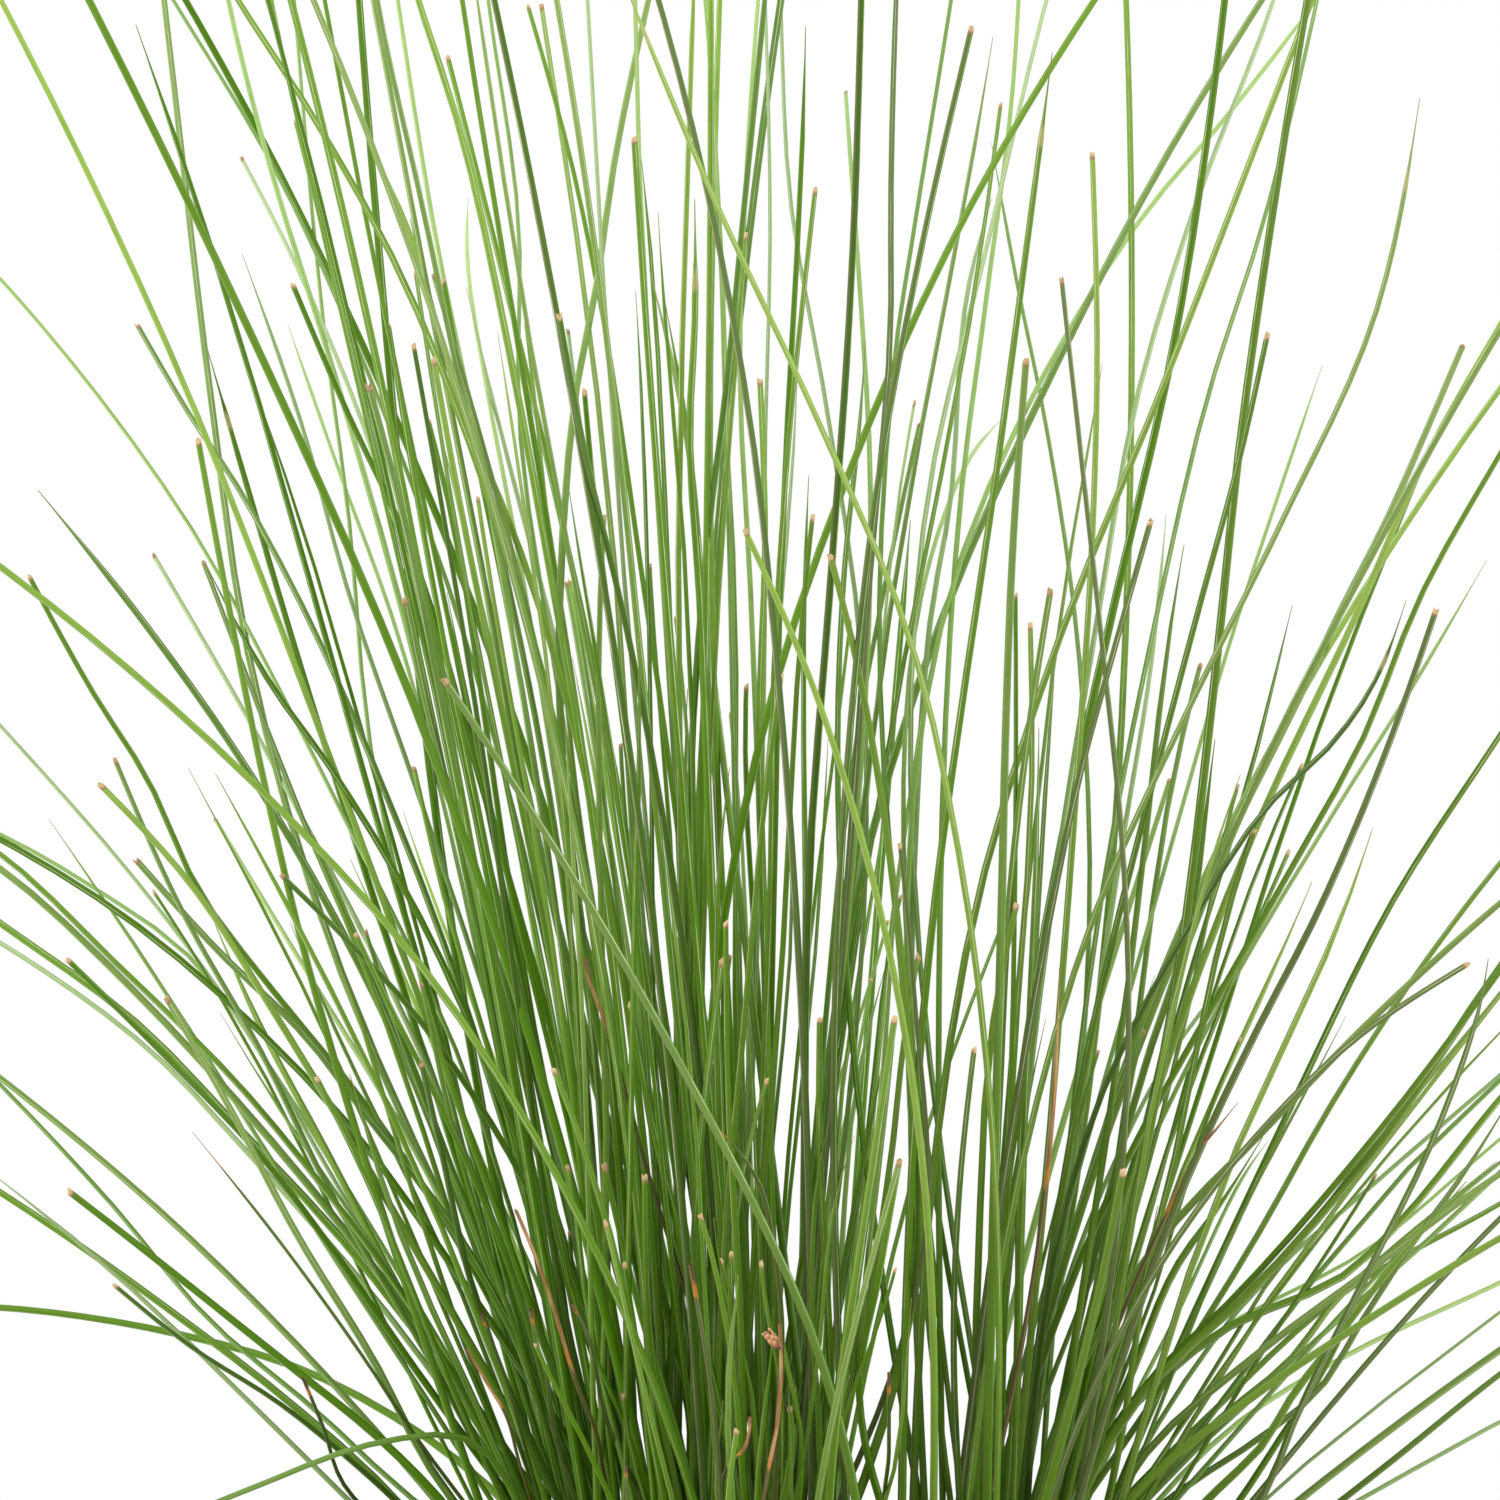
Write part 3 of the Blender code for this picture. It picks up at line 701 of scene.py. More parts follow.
def rooted(piece: bpy.types.Object, slot: str, *nodes: str) -> bpy.types.Object:
    """Makes a piece ride on the root body, and hides the CAD nodes that it replaces.

    Args:
        piece: The finished piece.
        slot: Not used.
        *nodes: The CAD nodes that it replaces.

    Returns:
        The piece.
    """
    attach(piece, "root")
    if nodes:
        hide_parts(*nodes)
    sides = sum(len(p.vertices) - 2 for p in piece.data.polygons)
    log.info("%s: %d triangles", piece.name, sides)
    return piece


def line_mesh(name: str, routes: list[Route]) -> bpy.types.Mesh:
    """Makes a mesh of edges along the routes, with the attributes that the skin reads.

    Args:
        name: The mesh's name.
        routes: The stems.

    Returns:
        The mesh.
    """
    mesh = bpy.data.meshes.new(name)
    edges, start = [], 0
    values = {key: [] for key in ("along", "to_tip", "from_root", "thick", "tone", "cut", "bract")}
    headings = []
    for route in routes:
        count = len(route.points)
        edges += [(start + i, start + i + 1) for i in range(count - 1)]
        start += count
        steps = np.linalg.norm(np.diff(route.points, axis=0), axis=1)
        reach = np.concatenate([[0], np.cumsum(steps)])
        ahead = np.gradient(route.points, axis=0)
        headings.append(ahead / np.linalg.norm(ahead, axis=1)[:, None])
        values["along"].append(reach / reach[-1])
        values["to_tip"].append(reach[-1] - reach)
        values["from_root"].append(reach)
        for key, value in (
            ("thick", route.radius),
            ("tone", route.tone),
            ("cut", float(route.cut)),
            ("bract", float(route.bract)),
        ):
            values[key].append(np.full(count, value))
    mesh.from_pydata(np.concatenate([r.points for r in routes]).tolist(), edges, [])
    for key, parts in values.items():
        mesh.attributes.new(key, "FLOAT", "POINT").data.foreach_set("value", np.concatenate(parts))
    heading = mesh.attributes.new("heading", "FLOAT_VECTOR", "POINT")
    heading.data.foreach_set("vector", np.concatenate(headings).ravel())
    return mesh


@dataclass
class LeadStems:
    """The stems that have solids of their own, each drawn along its solid.

    Attributes:
        lead: The tree that skins them.
        rings: How many rings each has.
        sides: How many sides each has.
    """

    lead: bpy.types.NodeTree
    rings: int = 36
    sides: int = 12

    def route(self, node: bpy.types.Object, mean_radius: float, turn: int) -> Route:
        """Reads a stem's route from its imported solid.

        Args:
            node: The solid.
            mean_radius: The radius of such a stem at its foot.
            turn: The stem's number, which varies its thickness and tone.

        Returns:
            The route.
        """
        rings = stem_rings(node, Vector((0, 0, PLANTING.soil_top)))
        knots = np.array([ring.mean(0) for ring in rings])
        shares = 1 - (1 - np.linspace(0, 1, self.rings)) ** 1.7
        tip_radius = np.linalg.norm(rings[-1] - knots[-1], axis=1).max()
        knots[0][2] = PLANTING.crown_z(knots[0][0], knots[0][1]) - 0.5 * MM
        radius = mean_radius * (0.78 + 0.3 * ((turn * 0.618) % 1))
        return Route(smooth(knots, shares), radius, tip_radius > 0.2 * MM, "bract" in node.name, (turn * 0.381) % 1)

    def build(self, word: str, starts: tuple, finish: Finish, radius: float, slot: str) -> bpy.types.Object:
        """Builds every stem of one kind as one piece.

        Args:
            word: The kind, for the piece's name.
            starts: What the names of its solids start with.
            finish: The stems' finish.
            radius: Their mean radius at the foot.
            slot: The record's material slot.

        Returns:
            The piece.
        """
        nodes = [n for n in sorted(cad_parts) if n.startswith(starts)]
        routes = [self.route(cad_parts[n], radius, i + len(word)) for i, n in enumerate(nodes)]
        inputs = {
            "Sides": self.sides,
            "Rib": 0.07,
            "Rag": 0.3 * MM,
            "Seed": len(word),
            "Material": MATERIALS[finish],
        }
        piece = grown(f"{word}_stems", line_mesh(word, routes), [(self.lead, inputs)])
        return rooted(piece, slot, *nodes)


class Tuft(Enum):
    """The tuft's three knots of stems, as the middle of each on the crown, in millimetres."""

    LEFT = (-13, -1)
    MIDDLE = (-2, -3)
    RIGHT = (19, -2)


class Tip(Enum):
    """How a stem ends."""

    CUT = "cut"
    POINT = "point"
    BRACT = "bract"


class Seen(NamedTuple):
    """A stem that the photograph shows, besides those with solids of their own.

    Places are in millimetres: X and height above the crown, low to high, as they are seen on
    the upright plane through the pot's axis. depth is the Y of its tip.
    """

    tuft: Tuft
    depth: float
    tip: Tip
    seen: tuple


SEEN_STEMS = {
    Finish.GREEN: (
        Seen(Tuft.LEFT, -20, Tip.CUT, ((-36, 33), (-46.5, 51), (-53, 64.5), (-61, 79), (-67.5, 94))),
        Seen(Tuft.LEFT, -30, Tip.CUT, ((-35, 40), (-46, 59), (-52, 69), (-60, 81.5), (-69, 91.5))),
        Seen(
            Tuft.LEFT, 10, Tip.CUT,
            ((-32, 43), (-42, 58.5), (-52, 71), (-59, 80.5), (-64.5, 92.5), (-69.5, 100.5), (-76, 112.5)),
        ),
        Seen(Tuft.LEFT, -12, Tip.CUT, ((-34, 47), (-43.5, 59.5), (-48, 65.5), (-57.5, 75), (-65.5, 84))),
        Seen(
            Tuft.LEFT, 0, Tip.POINT,
            ((-32, 40), (-45, 58), (-53, 66.5), (-67, 78.5), (-79, 86), (-102, 96)),
        ),
        Seen(
            Tuft.LEFT, -40, Tip.POINT,
            ((-37, 37), (-50.5, 55.5), (-56, 62), (-67.5, 73.5), (-79, 84.5), (-95, 94)),
        ),
        Seen(Tuft.LEFT, -15, Tip.POINT, ((-39, 39), (-55, 59), (-66.5, 71.5), (-79, 83), (-98, 93.5))),
        Seen(Tuft.LEFT, -45, Tip.CUT, ((-36, 30), (-47, 46), (-53.5, 54.5), (-63, 64.5), (-72.5, 74))),
        Seen(
            Tuft.LEFT, 20, Tip.POINT,
            ((-34, 31), (-44.5, 45), (-55, 56.5), (-65.5, 67.5), (-79, 77.5), (-94, 88.5)),
        ),
        Seen(Tuft.LEFT, -50, Tip.CUT, ((-36, 22), (-42, 33.5), (-49.5, 46), (-56, 58.5), (-62.5, 70))),
        Seen(Tuft.LEFT, -42, Tip.CUT, ((-32, 26), (-37, 38), (-42, 50.5), (-47.5, 62))),
        Seen(Tuft.LEFT, 20, Tip.CUT, ((-33, 50), (-39, 66), (-44.5, 78.5), (-48, 86.5))),
        Seen(Tuft.LEFT, -20, Tip.CUT, ((-31, 59), (-38.5, 69.5), (-44.5, 76), (-51, 82.5))),
        Seen(Tuft.LEFT, -35, Tip.CUT, ((-29, 45), (-35, 59), (-39.5, 68), (-43.5, 76.5))),
        Seen(Tuft.LEFT, 15, Tip.POINT, ((-39, 40), (-46.5, 54.5), (-53.5, 68), (-58, 78.5))),
        Seen(Tuft.LEFT, 50, Tip.CUT, ((-39, 87), (-49, 110), (-55.5, 122), (-59.5, 128), (-65, 137.5))),
        Seen(
            Tuft.LEFT, 20, Tip.POINT,
            ((-28, 114), (-35.5, 135), (-39, 143), (-47, 157.5), (-55, 170), (-61, 180)),
        ),
        Seen(Tuft.LEFT, 30, Tip.CUT, ((-31, 92), (-38, 115.5), (-44, 128.5), (-49.5, 141.5))),
        Seen(
            Tuft.LEFT, 10, Tip.POINT,
            ((-24, 90), (-29, 115.5), (-32.5, 130), (-36.5, 149), (-41, 170), (-42.5, 181)),
        ),
        Seen(
            Tuft.LEFT, -20, Tip.POINT,
            ((-20, 90), (-24.5, 116), (-28, 135), (-33, 157.5), (-37, 170), (-40.5, 182)),
        ),
        Seen(Tuft.LEFT, 30, Tip.CUT, ((-35, 108), (-38, 125), (-40, 137.5))),
        Seen(Tuft.LEFT, -30, Tip.CUT, ((-29, 70), (-34, 95.5), (-38.5, 118), (-42, 131.5))),
        Seen(Tuft.LEFT, -22, Tip.CUT, ((-25, 80), (-29, 100), (-33, 120), (-35.5, 134))),
        Seen(Tuft.LEFT, 24, Tip.CUT, ((-28, 108), (-32, 128), (-34.5, 142))),
        Seen(Tuft.LEFT, -24, Tip.CUT, ((-31, 80), (-36, 98), (-38.5, 110))),
        Seen(Tuft.LEFT, -16, Tip.POINT, ((-29, 60), (-37, 78), (-46.5, 94), (-51.5, 101), (-58.5, 114))),
        Seen(Tuft.MIDDLE, 30, Tip.CUT, ((-11, 85), (-15, 114), (-18.5, 137.5), (-21.5, 152.5), (-26, 169))),
        Seen(
            Tuft.MIDDLE, 34, Tip.POINT,
            ((-23, 110), (-21, 133), (-19.5, 140), (-17.5, 153.5), (-14, 170), (-11.5, 180)),
        ),
        Seen(Tuft.MIDDLE, -20, Tip.CUT, ((-17, 100), (-19.5, 120), (-20.5, 131))),
        Seen(Tuft.MIDDLE, -10, Tip.BRACT, ((-8, 85), (-9, 110), (-10, 127.5), (-9.5, 137.5), (-9.5, 150))),
        Seen(Tuft.MIDDLE, 40, Tip.POINT, ((-9, 114), (-10.5, 127.5), (-14, 143))),
        Seen(Tuft.MIDDLE, 30, Tip.POINT, ((-8.5, 108), (-10, 125), (-12.5, 140))),
        Seen(Tuft.MIDDLE, 60, Tip.POINT, ((-8, 130), (-7.5, 155), (-7, 170), (-6.5, 181))),
        Seen(
            Tuft.MIDDLE, 0, Tip.POINT,
            ((-10, 90), (-8, 118), (-6.5, 130), (-4.5, 150), (-2.5, 170), (-1.5, 181)),
        ),
        Seen(Tuft.MIDDLE, -48, Tip.CUT, ((-2, 80), (-1.5, 105.5), (0, 127.5), (1, 137.5), (2.5, 151))),
        Seen(Tuft.MIDDLE, 0, Tip.CUT, ((-2.5, 75), (-3, 100), (-2.5, 115.5), (-3, 132))),
        Seen(Tuft.RIGHT, 12, Tip.POINT, ((5.5, 114), (7, 128.5), (7.5, 136))),
        Seen(Tuft.MIDDLE, -52, Tip.CUT, ((13, 45), (11.5, 70), (9.5, 88), (6.5, 104.5), (4, 114.5))),
        Seen(Tuft.MIDDLE, -44, Tip.CUT, ((4, 35), (3, 55), (3, 68))),
        Seen(Tuft.MIDDLE, -60, Tip.CUT, ((6, 30), (8, 45), (9.5, 58), (10.5, 68))),
        Seen(Tuft.RIGHT, -46, Tip.CUT, ((7, 30), (9, 42), (11, 53.5))),
        Seen(Tuft.RIGHT, -30, Tip.CUT, ((31, 70), (36.5, 92.5), (40.5, 108), (45, 125), (47.5, 136.5))),
        Seen(
            Tuft.RIGHT, 60, Tip.CUT,
            ((41, 80), (51, 100.5), (55, 109), (59.5, 118), (63, 126), (67, 135.5)),
        ),
        Seen(Tuft.RIGHT, 20, Tip.POINT, ((47, 88), (57, 109.5), (63, 123.5), (71, 138), (81, 155))),
        Seen(
            Tuft.RIGHT, -10, Tip.POINT,
            ((33, 52), (42, 68.5), (51, 84.5), (57, 95.5), (63, 110.5), (71, 125), (78, 137)),
        ),
        Seen(Tuft.RIGHT, -20, Tip.CUT, ((21, 60), (22, 80), (24, 98), (26, 111))),
        Seen(
            Tuft.RIGHT, 30, Tip.POINT,
            ((38, 32), (44.5, 46.5), (51, 60.5), (60.5, 80), (71, 96.5), (77, 106)),
        ),
        Seen(Tuft.RIGHT, -6, Tip.POINT, ((47, 46), (54.5, 59.5), (62.5, 72), (71, 83.5), (81, 95))),
        Seen(
            Tuft.RIGHT, -20, Tip.POINT,
            ((30, 34), (38, 46.5), (46.5, 55.5), (59, 68.5), (71, 79.5), (80, 87)),
        ),
        Seen(Tuft.RIGHT, -30, Tip.POINT, ((36, 31), (45, 40), (59.5, 57), (71, 72.5), (81, 87))),
        Seen(Tuft.RIGHT, 12, Tip.POINT, ((33, 27), (43, 36), (56.5, 42.5), (61, 47), (71, 59.5), (79, 69))),
        Seen(Tuft.RIGHT, -26, Tip.POINT, ((36, 24), (46.5, 33.5), (59, 43), (71, 52), (81, 58))),
        Seen(Tuft.RIGHT, 20, Tip.POINT, ((42, 27.5), (55.5, 40), (71, 49), (81, 55))),
        Seen(Tuft.RIGHT, -40, Tip.POINT, ((36, 21), (46.5, 29.5), (59, 38), (71, 45.5), (81, 51))),
        Seen(Tuft.RIGHT, -20, Tip.POINT, ((53, 17), (60, 22.5), (71, 31.5), (81, 39))),
        Seen(Tuft.RIGHT, 0, Tip.POINT, ((34, 31), (39, 43), (43.5, 49.5), (47.5, 56))),
        Seen(Tuft.RIGHT, 10, Tip.POINT, ((36.5, 20.5), (43.5, 27.5), (50.5, 33.5), (55, 39.5), (60.5, 44.5), (71, 53.5))),
        Seen(Tuft.RIGHT, -10, Tip.POINT, ((40, 20.5), (47.5, 25.5), (53, 30), (58, 38), (62.5, 45), (67.5, 52), (73, 61))),
        Seen(Tuft.RIGHT, -24, Tip.POINT, ((43.5, 20.5), (47.5, 24.5), (50.5, 29.5), (55, 35.5), (59.5, 41.5), (68, 51.5))),
        Seen(Tuft.RIGHT, 4, Tip.POINT, ((46, 20), (49.5, 25.5), (53, 31), (56.5, 38), (60, 46))),
        Seen(Tuft.LEFT, 10, Tip.CUT, ((-26.5, 110), (-30.5, 125), (-35.5, 142.5))),
        Seen(Tuft.LEFT, 26, Tip.POINT, ((-27.5, 116.5), (-33, 130), (-38, 147), (-42, 156))),
    ),
    Finish.YOUNG: (
        Seen(Tuft.LEFT, 70, Tip.POINT, ((-46, 52), (-56, 69), (-66, 82.5), (-79, 97.5), (-94, 114))),
        Seen(Tuft.LEFT, 60, Tip.CUT, ((-39, 57), (-46.5, 69.5), (-54, 82), (-57.5, 88))),
        Seen(
            Tuft.LEFT, 80, Tip.POINT,
            ((-41, 45), (-51.5, 62), (-60, 74), (-69.5, 81), (-79, 86.5), (-97, 93.5)),
        ),
        Seen(Tuft.LEFT, 60, Tip.POINT, ((-42, 40), (-55, 55), (-64.5, 65), (-79, 75.5), (-91, 82))),
        Seen(
            Tuft.LEFT, 40, Tip.POINT,
            ((-39, 20), (-47.5, 28), (-58.5, 37.5), (-68, 49), (-79, 61), (-90, 72)),
        ),
        Seen(
            Tuft.LEFT, 70, Tip.POINT,
            ((-34, 66), (-45, 89), (-51, 101), (-59, 116), (-67.5, 128.5), (-79, 142.5), (-89, 152.5)),
        ),
        Seen(Tuft.LEFT, 60, Tip.CUT, ((-41, 73), (-49, 88.5), (-55.5, 100.5), (-63.5, 114.5))),
        Seen(Tuft.LEFT, 80, Tip.POINT, ((-35, 114), (-43, 135), (-51, 152.5), (-60.5, 168.5), (-67, 179))),
        Seen(
            Tuft.LEFT, 72, Tip.POINT,
            ((-39, 110), (-45.5, 133), (-51.5, 152.5), (-55.5, 168.5), (-57.5, 180)),
        ),
        Seen(Tuft.LEFT, 60, Tip.CUT, ((-36, 106), (-42, 126), (-48.5, 142), (-54.5, 154))),
        Seen(
            Tuft.LEFT, 84, Tip.POINT,
            ((-37, 72), (-42, 95.5), (-44, 118), (-46.5, 138), (-49, 167), (-50, 181)),
        ),
        Seen(Tuft.LEFT, 62, Tip.POINT, ((-31, 125), (-35.5, 147.5), (-39, 170), (-40.5, 180))),
        Seen(Tuft.LEFT, 58, Tip.POINT, ((-37, 90), (-44, 110.5), (-48.5, 127), (-54.5, 144.5))),
        Seen(Tuft.LEFT, 88, Tip.POINT, ((-39, 106), (-45, 123), (-50, 137.5))),
        Seen(Tuft.LEFT, 86, Tip.POINT, ((-27, 114), (-30, 130), (-32, 142.5), (-32, 150))),
        Seen(Tuft.MIDDLE, 90, Tip.POINT, ((7, 106), (3.5, 130), (0, 150), (-1, 170), (-1.5, 180))),
        Seen(Tuft.MIDDLE, 80, Tip.CUT, ((8, 122), (7, 140), (6, 153.5), (5.5, 160.5))),
        Seen(Tuft.RIGHT, 80, Tip.POINT, ((9, 114), (10.5, 135), (12, 145), (16, 170), (17.5, 180))),
        Seen(Tuft.MIDDLE, 60, Tip.POINT, ((-2.5, 110), (-2.5, 124), (-2, 147), (-2.5, 170), (-3, 182))),
        Seen(Tuft.MIDDLE, 76, Tip.POINT, ((-4, 112), (-5, 132), (-4.5, 150), (-3, 172), (-2, 182))),
        Seen(Tuft.RIGHT, 56, Tip.POINT, ((34, 28), (38.5, 37), (45, 51), (48, 55.5))),
        Seen(Tuft.RIGHT, 60, Tip.POINT, ((12.5, 85), (14, 108), (16, 120), (17.5, 140), (20, 150))),
        Seen(Tuft.RIGHT, 74, Tip.POINT, ((13, 110), (17, 122.5), (21, 128))),
        Seen(Tuft.MIDDLE, 60, Tip.POINT, ((-23, 100), (-27, 128), (-27, 147.5), (-30, 170), (-31, 180))),
        Seen(
            Tuft.RIGHT, 60, Tip.POINT,
            ((27, 85), (31, 110), (34.5, 130), (40.5, 150), (47, 167), (50, 176)),
        ),
        Seen(
            Tuft.RIGHT, 80, Tip.POINT,
            ((32, 85), (36.5, 108), (41.5, 130), (47, 147.5), (52, 168.5), (54, 179)),
        ),
        Seen(Tuft.RIGHT, 70, Tip.POINT, ((35, 74), (40, 92), (44, 106), (49, 121.5), (53, 133.5))),
        Seen(Tuft.RIGHT, 60, Tip.POINT, ((33, 84), (36, 103), (37.5, 118.5))),
        Seen(Tuft.RIGHT, 70, Tip.POINT, ((30, 85), (28.5, 108), (25.5, 127.5), (22.5, 142), (20, 155.5))),
        Seen(Tuft.RIGHT, 90, Tip.POINT, ((17, 120), (19.5, 140), (22, 160), (23, 180))),
        Seen(Tuft.RIGHT, 76, Tip.POINT, ((14, 122), (19.5, 145), (25.5, 170), (28, 178))),
        Seen(Tuft.RIGHT, 40, Tip.POINT, ((44, 71), (54, 88), (62, 101), (69.5, 114))),
        Seen(Tuft.RIGHT, 90, Tip.POINT, ((17, 114), (25, 132), (34.5, 147.5), (44, 159), (54, 172))),
        Seen(Tuft.RIGHT, 50, Tip.POINT, ((46.5, 40), (59, 51.5), (71, 62), (80, 70))),
        Seen(Tuft.RIGHT, 62, Tip.POINT, ((31, 25), (42, 35.5), (58, 44.5), (71, 55.5), (81, 64))),
        Seen(Tuft.RIGHT, 60, Tip.POINT, ((44, 26), (55.5, 33.5), (71, 41), (81, 46))),
        Seen(Tuft.RIGHT, 50, Tip.POINT, ((32, 52), (38, 64), (46.5, 75.5), (49, 80))),
    ),
    Finish.BRONZE: (
        Seen(Tuft.LEFT, -32, Tip.CUT, ((-43, 22), (-51.5, 29), (-60, 34.5), (-68, 41))),
        Seen(Tuft.LEFT, -30, Tip.CUT, ((-32, 41), (-35, 54.5), (-37, 63.5))),
        Seen(Tuft.LEFT, -55, Tip.CUT, ((-23, 40), (-28, 75), (-31, 96.5), (-34.5, 118), (-37.5, 135.5))),
        Seen(Tuft.MIDDLE, -50, Tip.CUT, ((-10, 70), (-14, 95.5), (-16.5, 108), (-20.5, 125), (-23, 138.5))),
        Seen(
            Tuft.MIDDLE, -22, Tip.POINT,
            ((6, 85), (8, 113), (10, 137.5), (10, 150), (10.5, 170), (11, 181)),
        ),
        Seen(Tuft.MIDDLE, -58, Tip.CUT, ((13.5, 45), (12.5, 70), (11, 85.5))),
        Seen(Tuft.RIGHT, -50, Tip.CUT, ((16.5, 35), (17, 50), (18.5, 65))),
        Seen(
            Tuft.RIGHT, -42, Tip.BRACT,
            ((32, 62), (39, 75.5), (47.5, 89), (54.5, 96), (58.5, 102), (61.5, 110)),
        ),
        Seen(Tuft.RIGHT, -55, Tip.CUT, ((22, 55), (26, 78), (29, 92.5), (32.5, 105.5), (36, 118))),
        Seen(
            Tuft.RIGHT, -42, Tip.POINT,
            ((48, 20), (51, 27.5), (57.5, 41), (64.5, 55.5), (69, 68.5), (70, 74)),
        ),
    ),
    Finish.DRY: (
        Seen(Tuft.LEFT, -45, Tip.POINT, ((-38, 26), (-42.5, 33), (-51, 45), (-60, 56.5))),
        Seen(Tuft.LEFT, -38, Tip.CUT, ((-44.5, 20), (-47, 26.5), (-49, 31.5))),
        Seen(Tuft.LEFT, -54, Tip.CUT, ((-26, 22), (-28.5, 31), (-30, 35), (-31, 38))),
        Seen(Tuft.LEFT, -62, Tip.CUT, ((-23.5, 25), (-24.5, 32), (-25.5, 35), (-26, 38.5))),
        Seen(Tuft.MIDDLE, -56, Tip.CUT, ((-18, 26), (-20, 35), (-22, 39))),
        Seen(Tuft.MIDDLE, -70, Tip.CUT, ((-15, 14), (-16.5, 22.5))),
        Seen(Tuft.RIGHT, -58, Tip.CUT, ((10, 16), (10, 24), (10, 32))),
    ),
    Finish.STRAW: (
        Seen(Tuft.LEFT, -60, Tip.CUT, ((-27, 22), (-28.5, 27.5), (-30.5, 31), (-32.5, 34.5))),
        Seen(Tuft.LEFT, -52, Tip.CUT, ((-18.5, 20.5), (-19.5, 26), (-21.5, 31), (-24.5, 41), (-27.5, 48.5))),
        Seen(Tuft.MIDDLE, -74, Tip.CUT, ((-7.5, 16), (-6.5, 22), (-4.5, 24.5), (-4, 27.5))),
        Seen(Tuft.RIGHT, -36, Tip.POINT, ((36, 44), (41, 54.5), (43, 57), (45, 59.5))),
        Seen(Tuft.MIDDLE, -40, Tip.CUT, ((-15, 55), (-18, 66), (-20, 71.5), (-20.5, 74))),
    ),
}


@dataclass
class SeenStems:
    """The stems of SEEN_STEMS, drawn where they are seen.

    Attributes:
        lead: The tree that skins them.
        rings: How many rings each has.
        sides: How many sides each has.
        spread: How far from its knot's middle a stem can start.
    """

    lead: bpy.types.NodeTree
    rings: int = 28
    sides: int = 8
    spread: float = 7 * MM

    def route(self, stem: Seen, turn: int) -> Route:
        """Works out a stem's route from where it is seen.

        Args:
            stem: The stem.
            turn: Its number, which varies its root, thickness and tone.

        Returns:
            The route.
        """
        reach = self.spread * math.sqrt((turn * 0.618) % 1)
        x = stem.tuft.value[0] * MM + reach * math.cos(turn * GOLDEN_ANGLE)
        y = stem.tuft.value[1] * MM + reach * math.sin(turn * GOLDEN_ANGLE) + 0.12 * stem.depth * MM
        knots = [Vector((x, y, PLANTING.crown_z(x, y) - 0.5 * MM))]
        for i, (seen_x, height) in enumerate(stem.seen):
            share = (i + 1) / len(stem.seen)
            z = PLANTING.soil_top + PLANTING.crown_rise + height * MM
            knots.append(VIEW.sighted(seen_x * MM, z, y + (stem.depth * MM - y) * share))
        shares = 1 - (1 - np.linspace(0, 1, self.rings)) ** 1.5
        tone = (turn * 0.381) % 1
        return Route(smooth(np.array(knots), shares), 0.0, stem.tip is Tip.CUT, stem.tip is Tip.BRACT, tone)

    def build(self, finish: Finish, radius: float, slot: str) -> bpy.types.Object:
        """Builds every stem of one finish as one piece.

        Args:
            finish: The stems' finish.
            radius: Their mean radius at the foot.
            slot: The record's material slot.

        Returns:
            The piece.
        """
        word = finish.name.lower()
        routes = []
        for i, stem in enumerate(SEEN_STEMS[finish]):
            route = self.route(stem, i + 5 * len(word))
            route.radius = radius * (0.82 + 0.34 * ((i * 0.618) % 1))
            routes.append(route)
        inputs = {
            "Sides": self.sides,
            "Rib": 0.06,
            "Rag": 0.3 * MM,
            "Seed": 20 + len(word),
            "Material": MATERIALS[finish],
        }
        piece = grown(f"seen_{word}_stems", line_mesh(word, routes), [(self.lead, inputs)])
        return rooted(piece, slot)


@dataclass(frozen=True)
class Clump:
    """A clump of fine stems: where it grows on the crown, and which way it leans.

    Places are in millimetres. lean is how far it leans for each unit of length.
    """

    name: str
    finish: Finish
    count: int
    centre: tuple[float, float]
    radius: float
    lean: tuple[float, float]
    outward: float
    scatter: float
    shortest: float
    longest: float
    droop: float
    thickness: float
    cut_share: float = 0.5


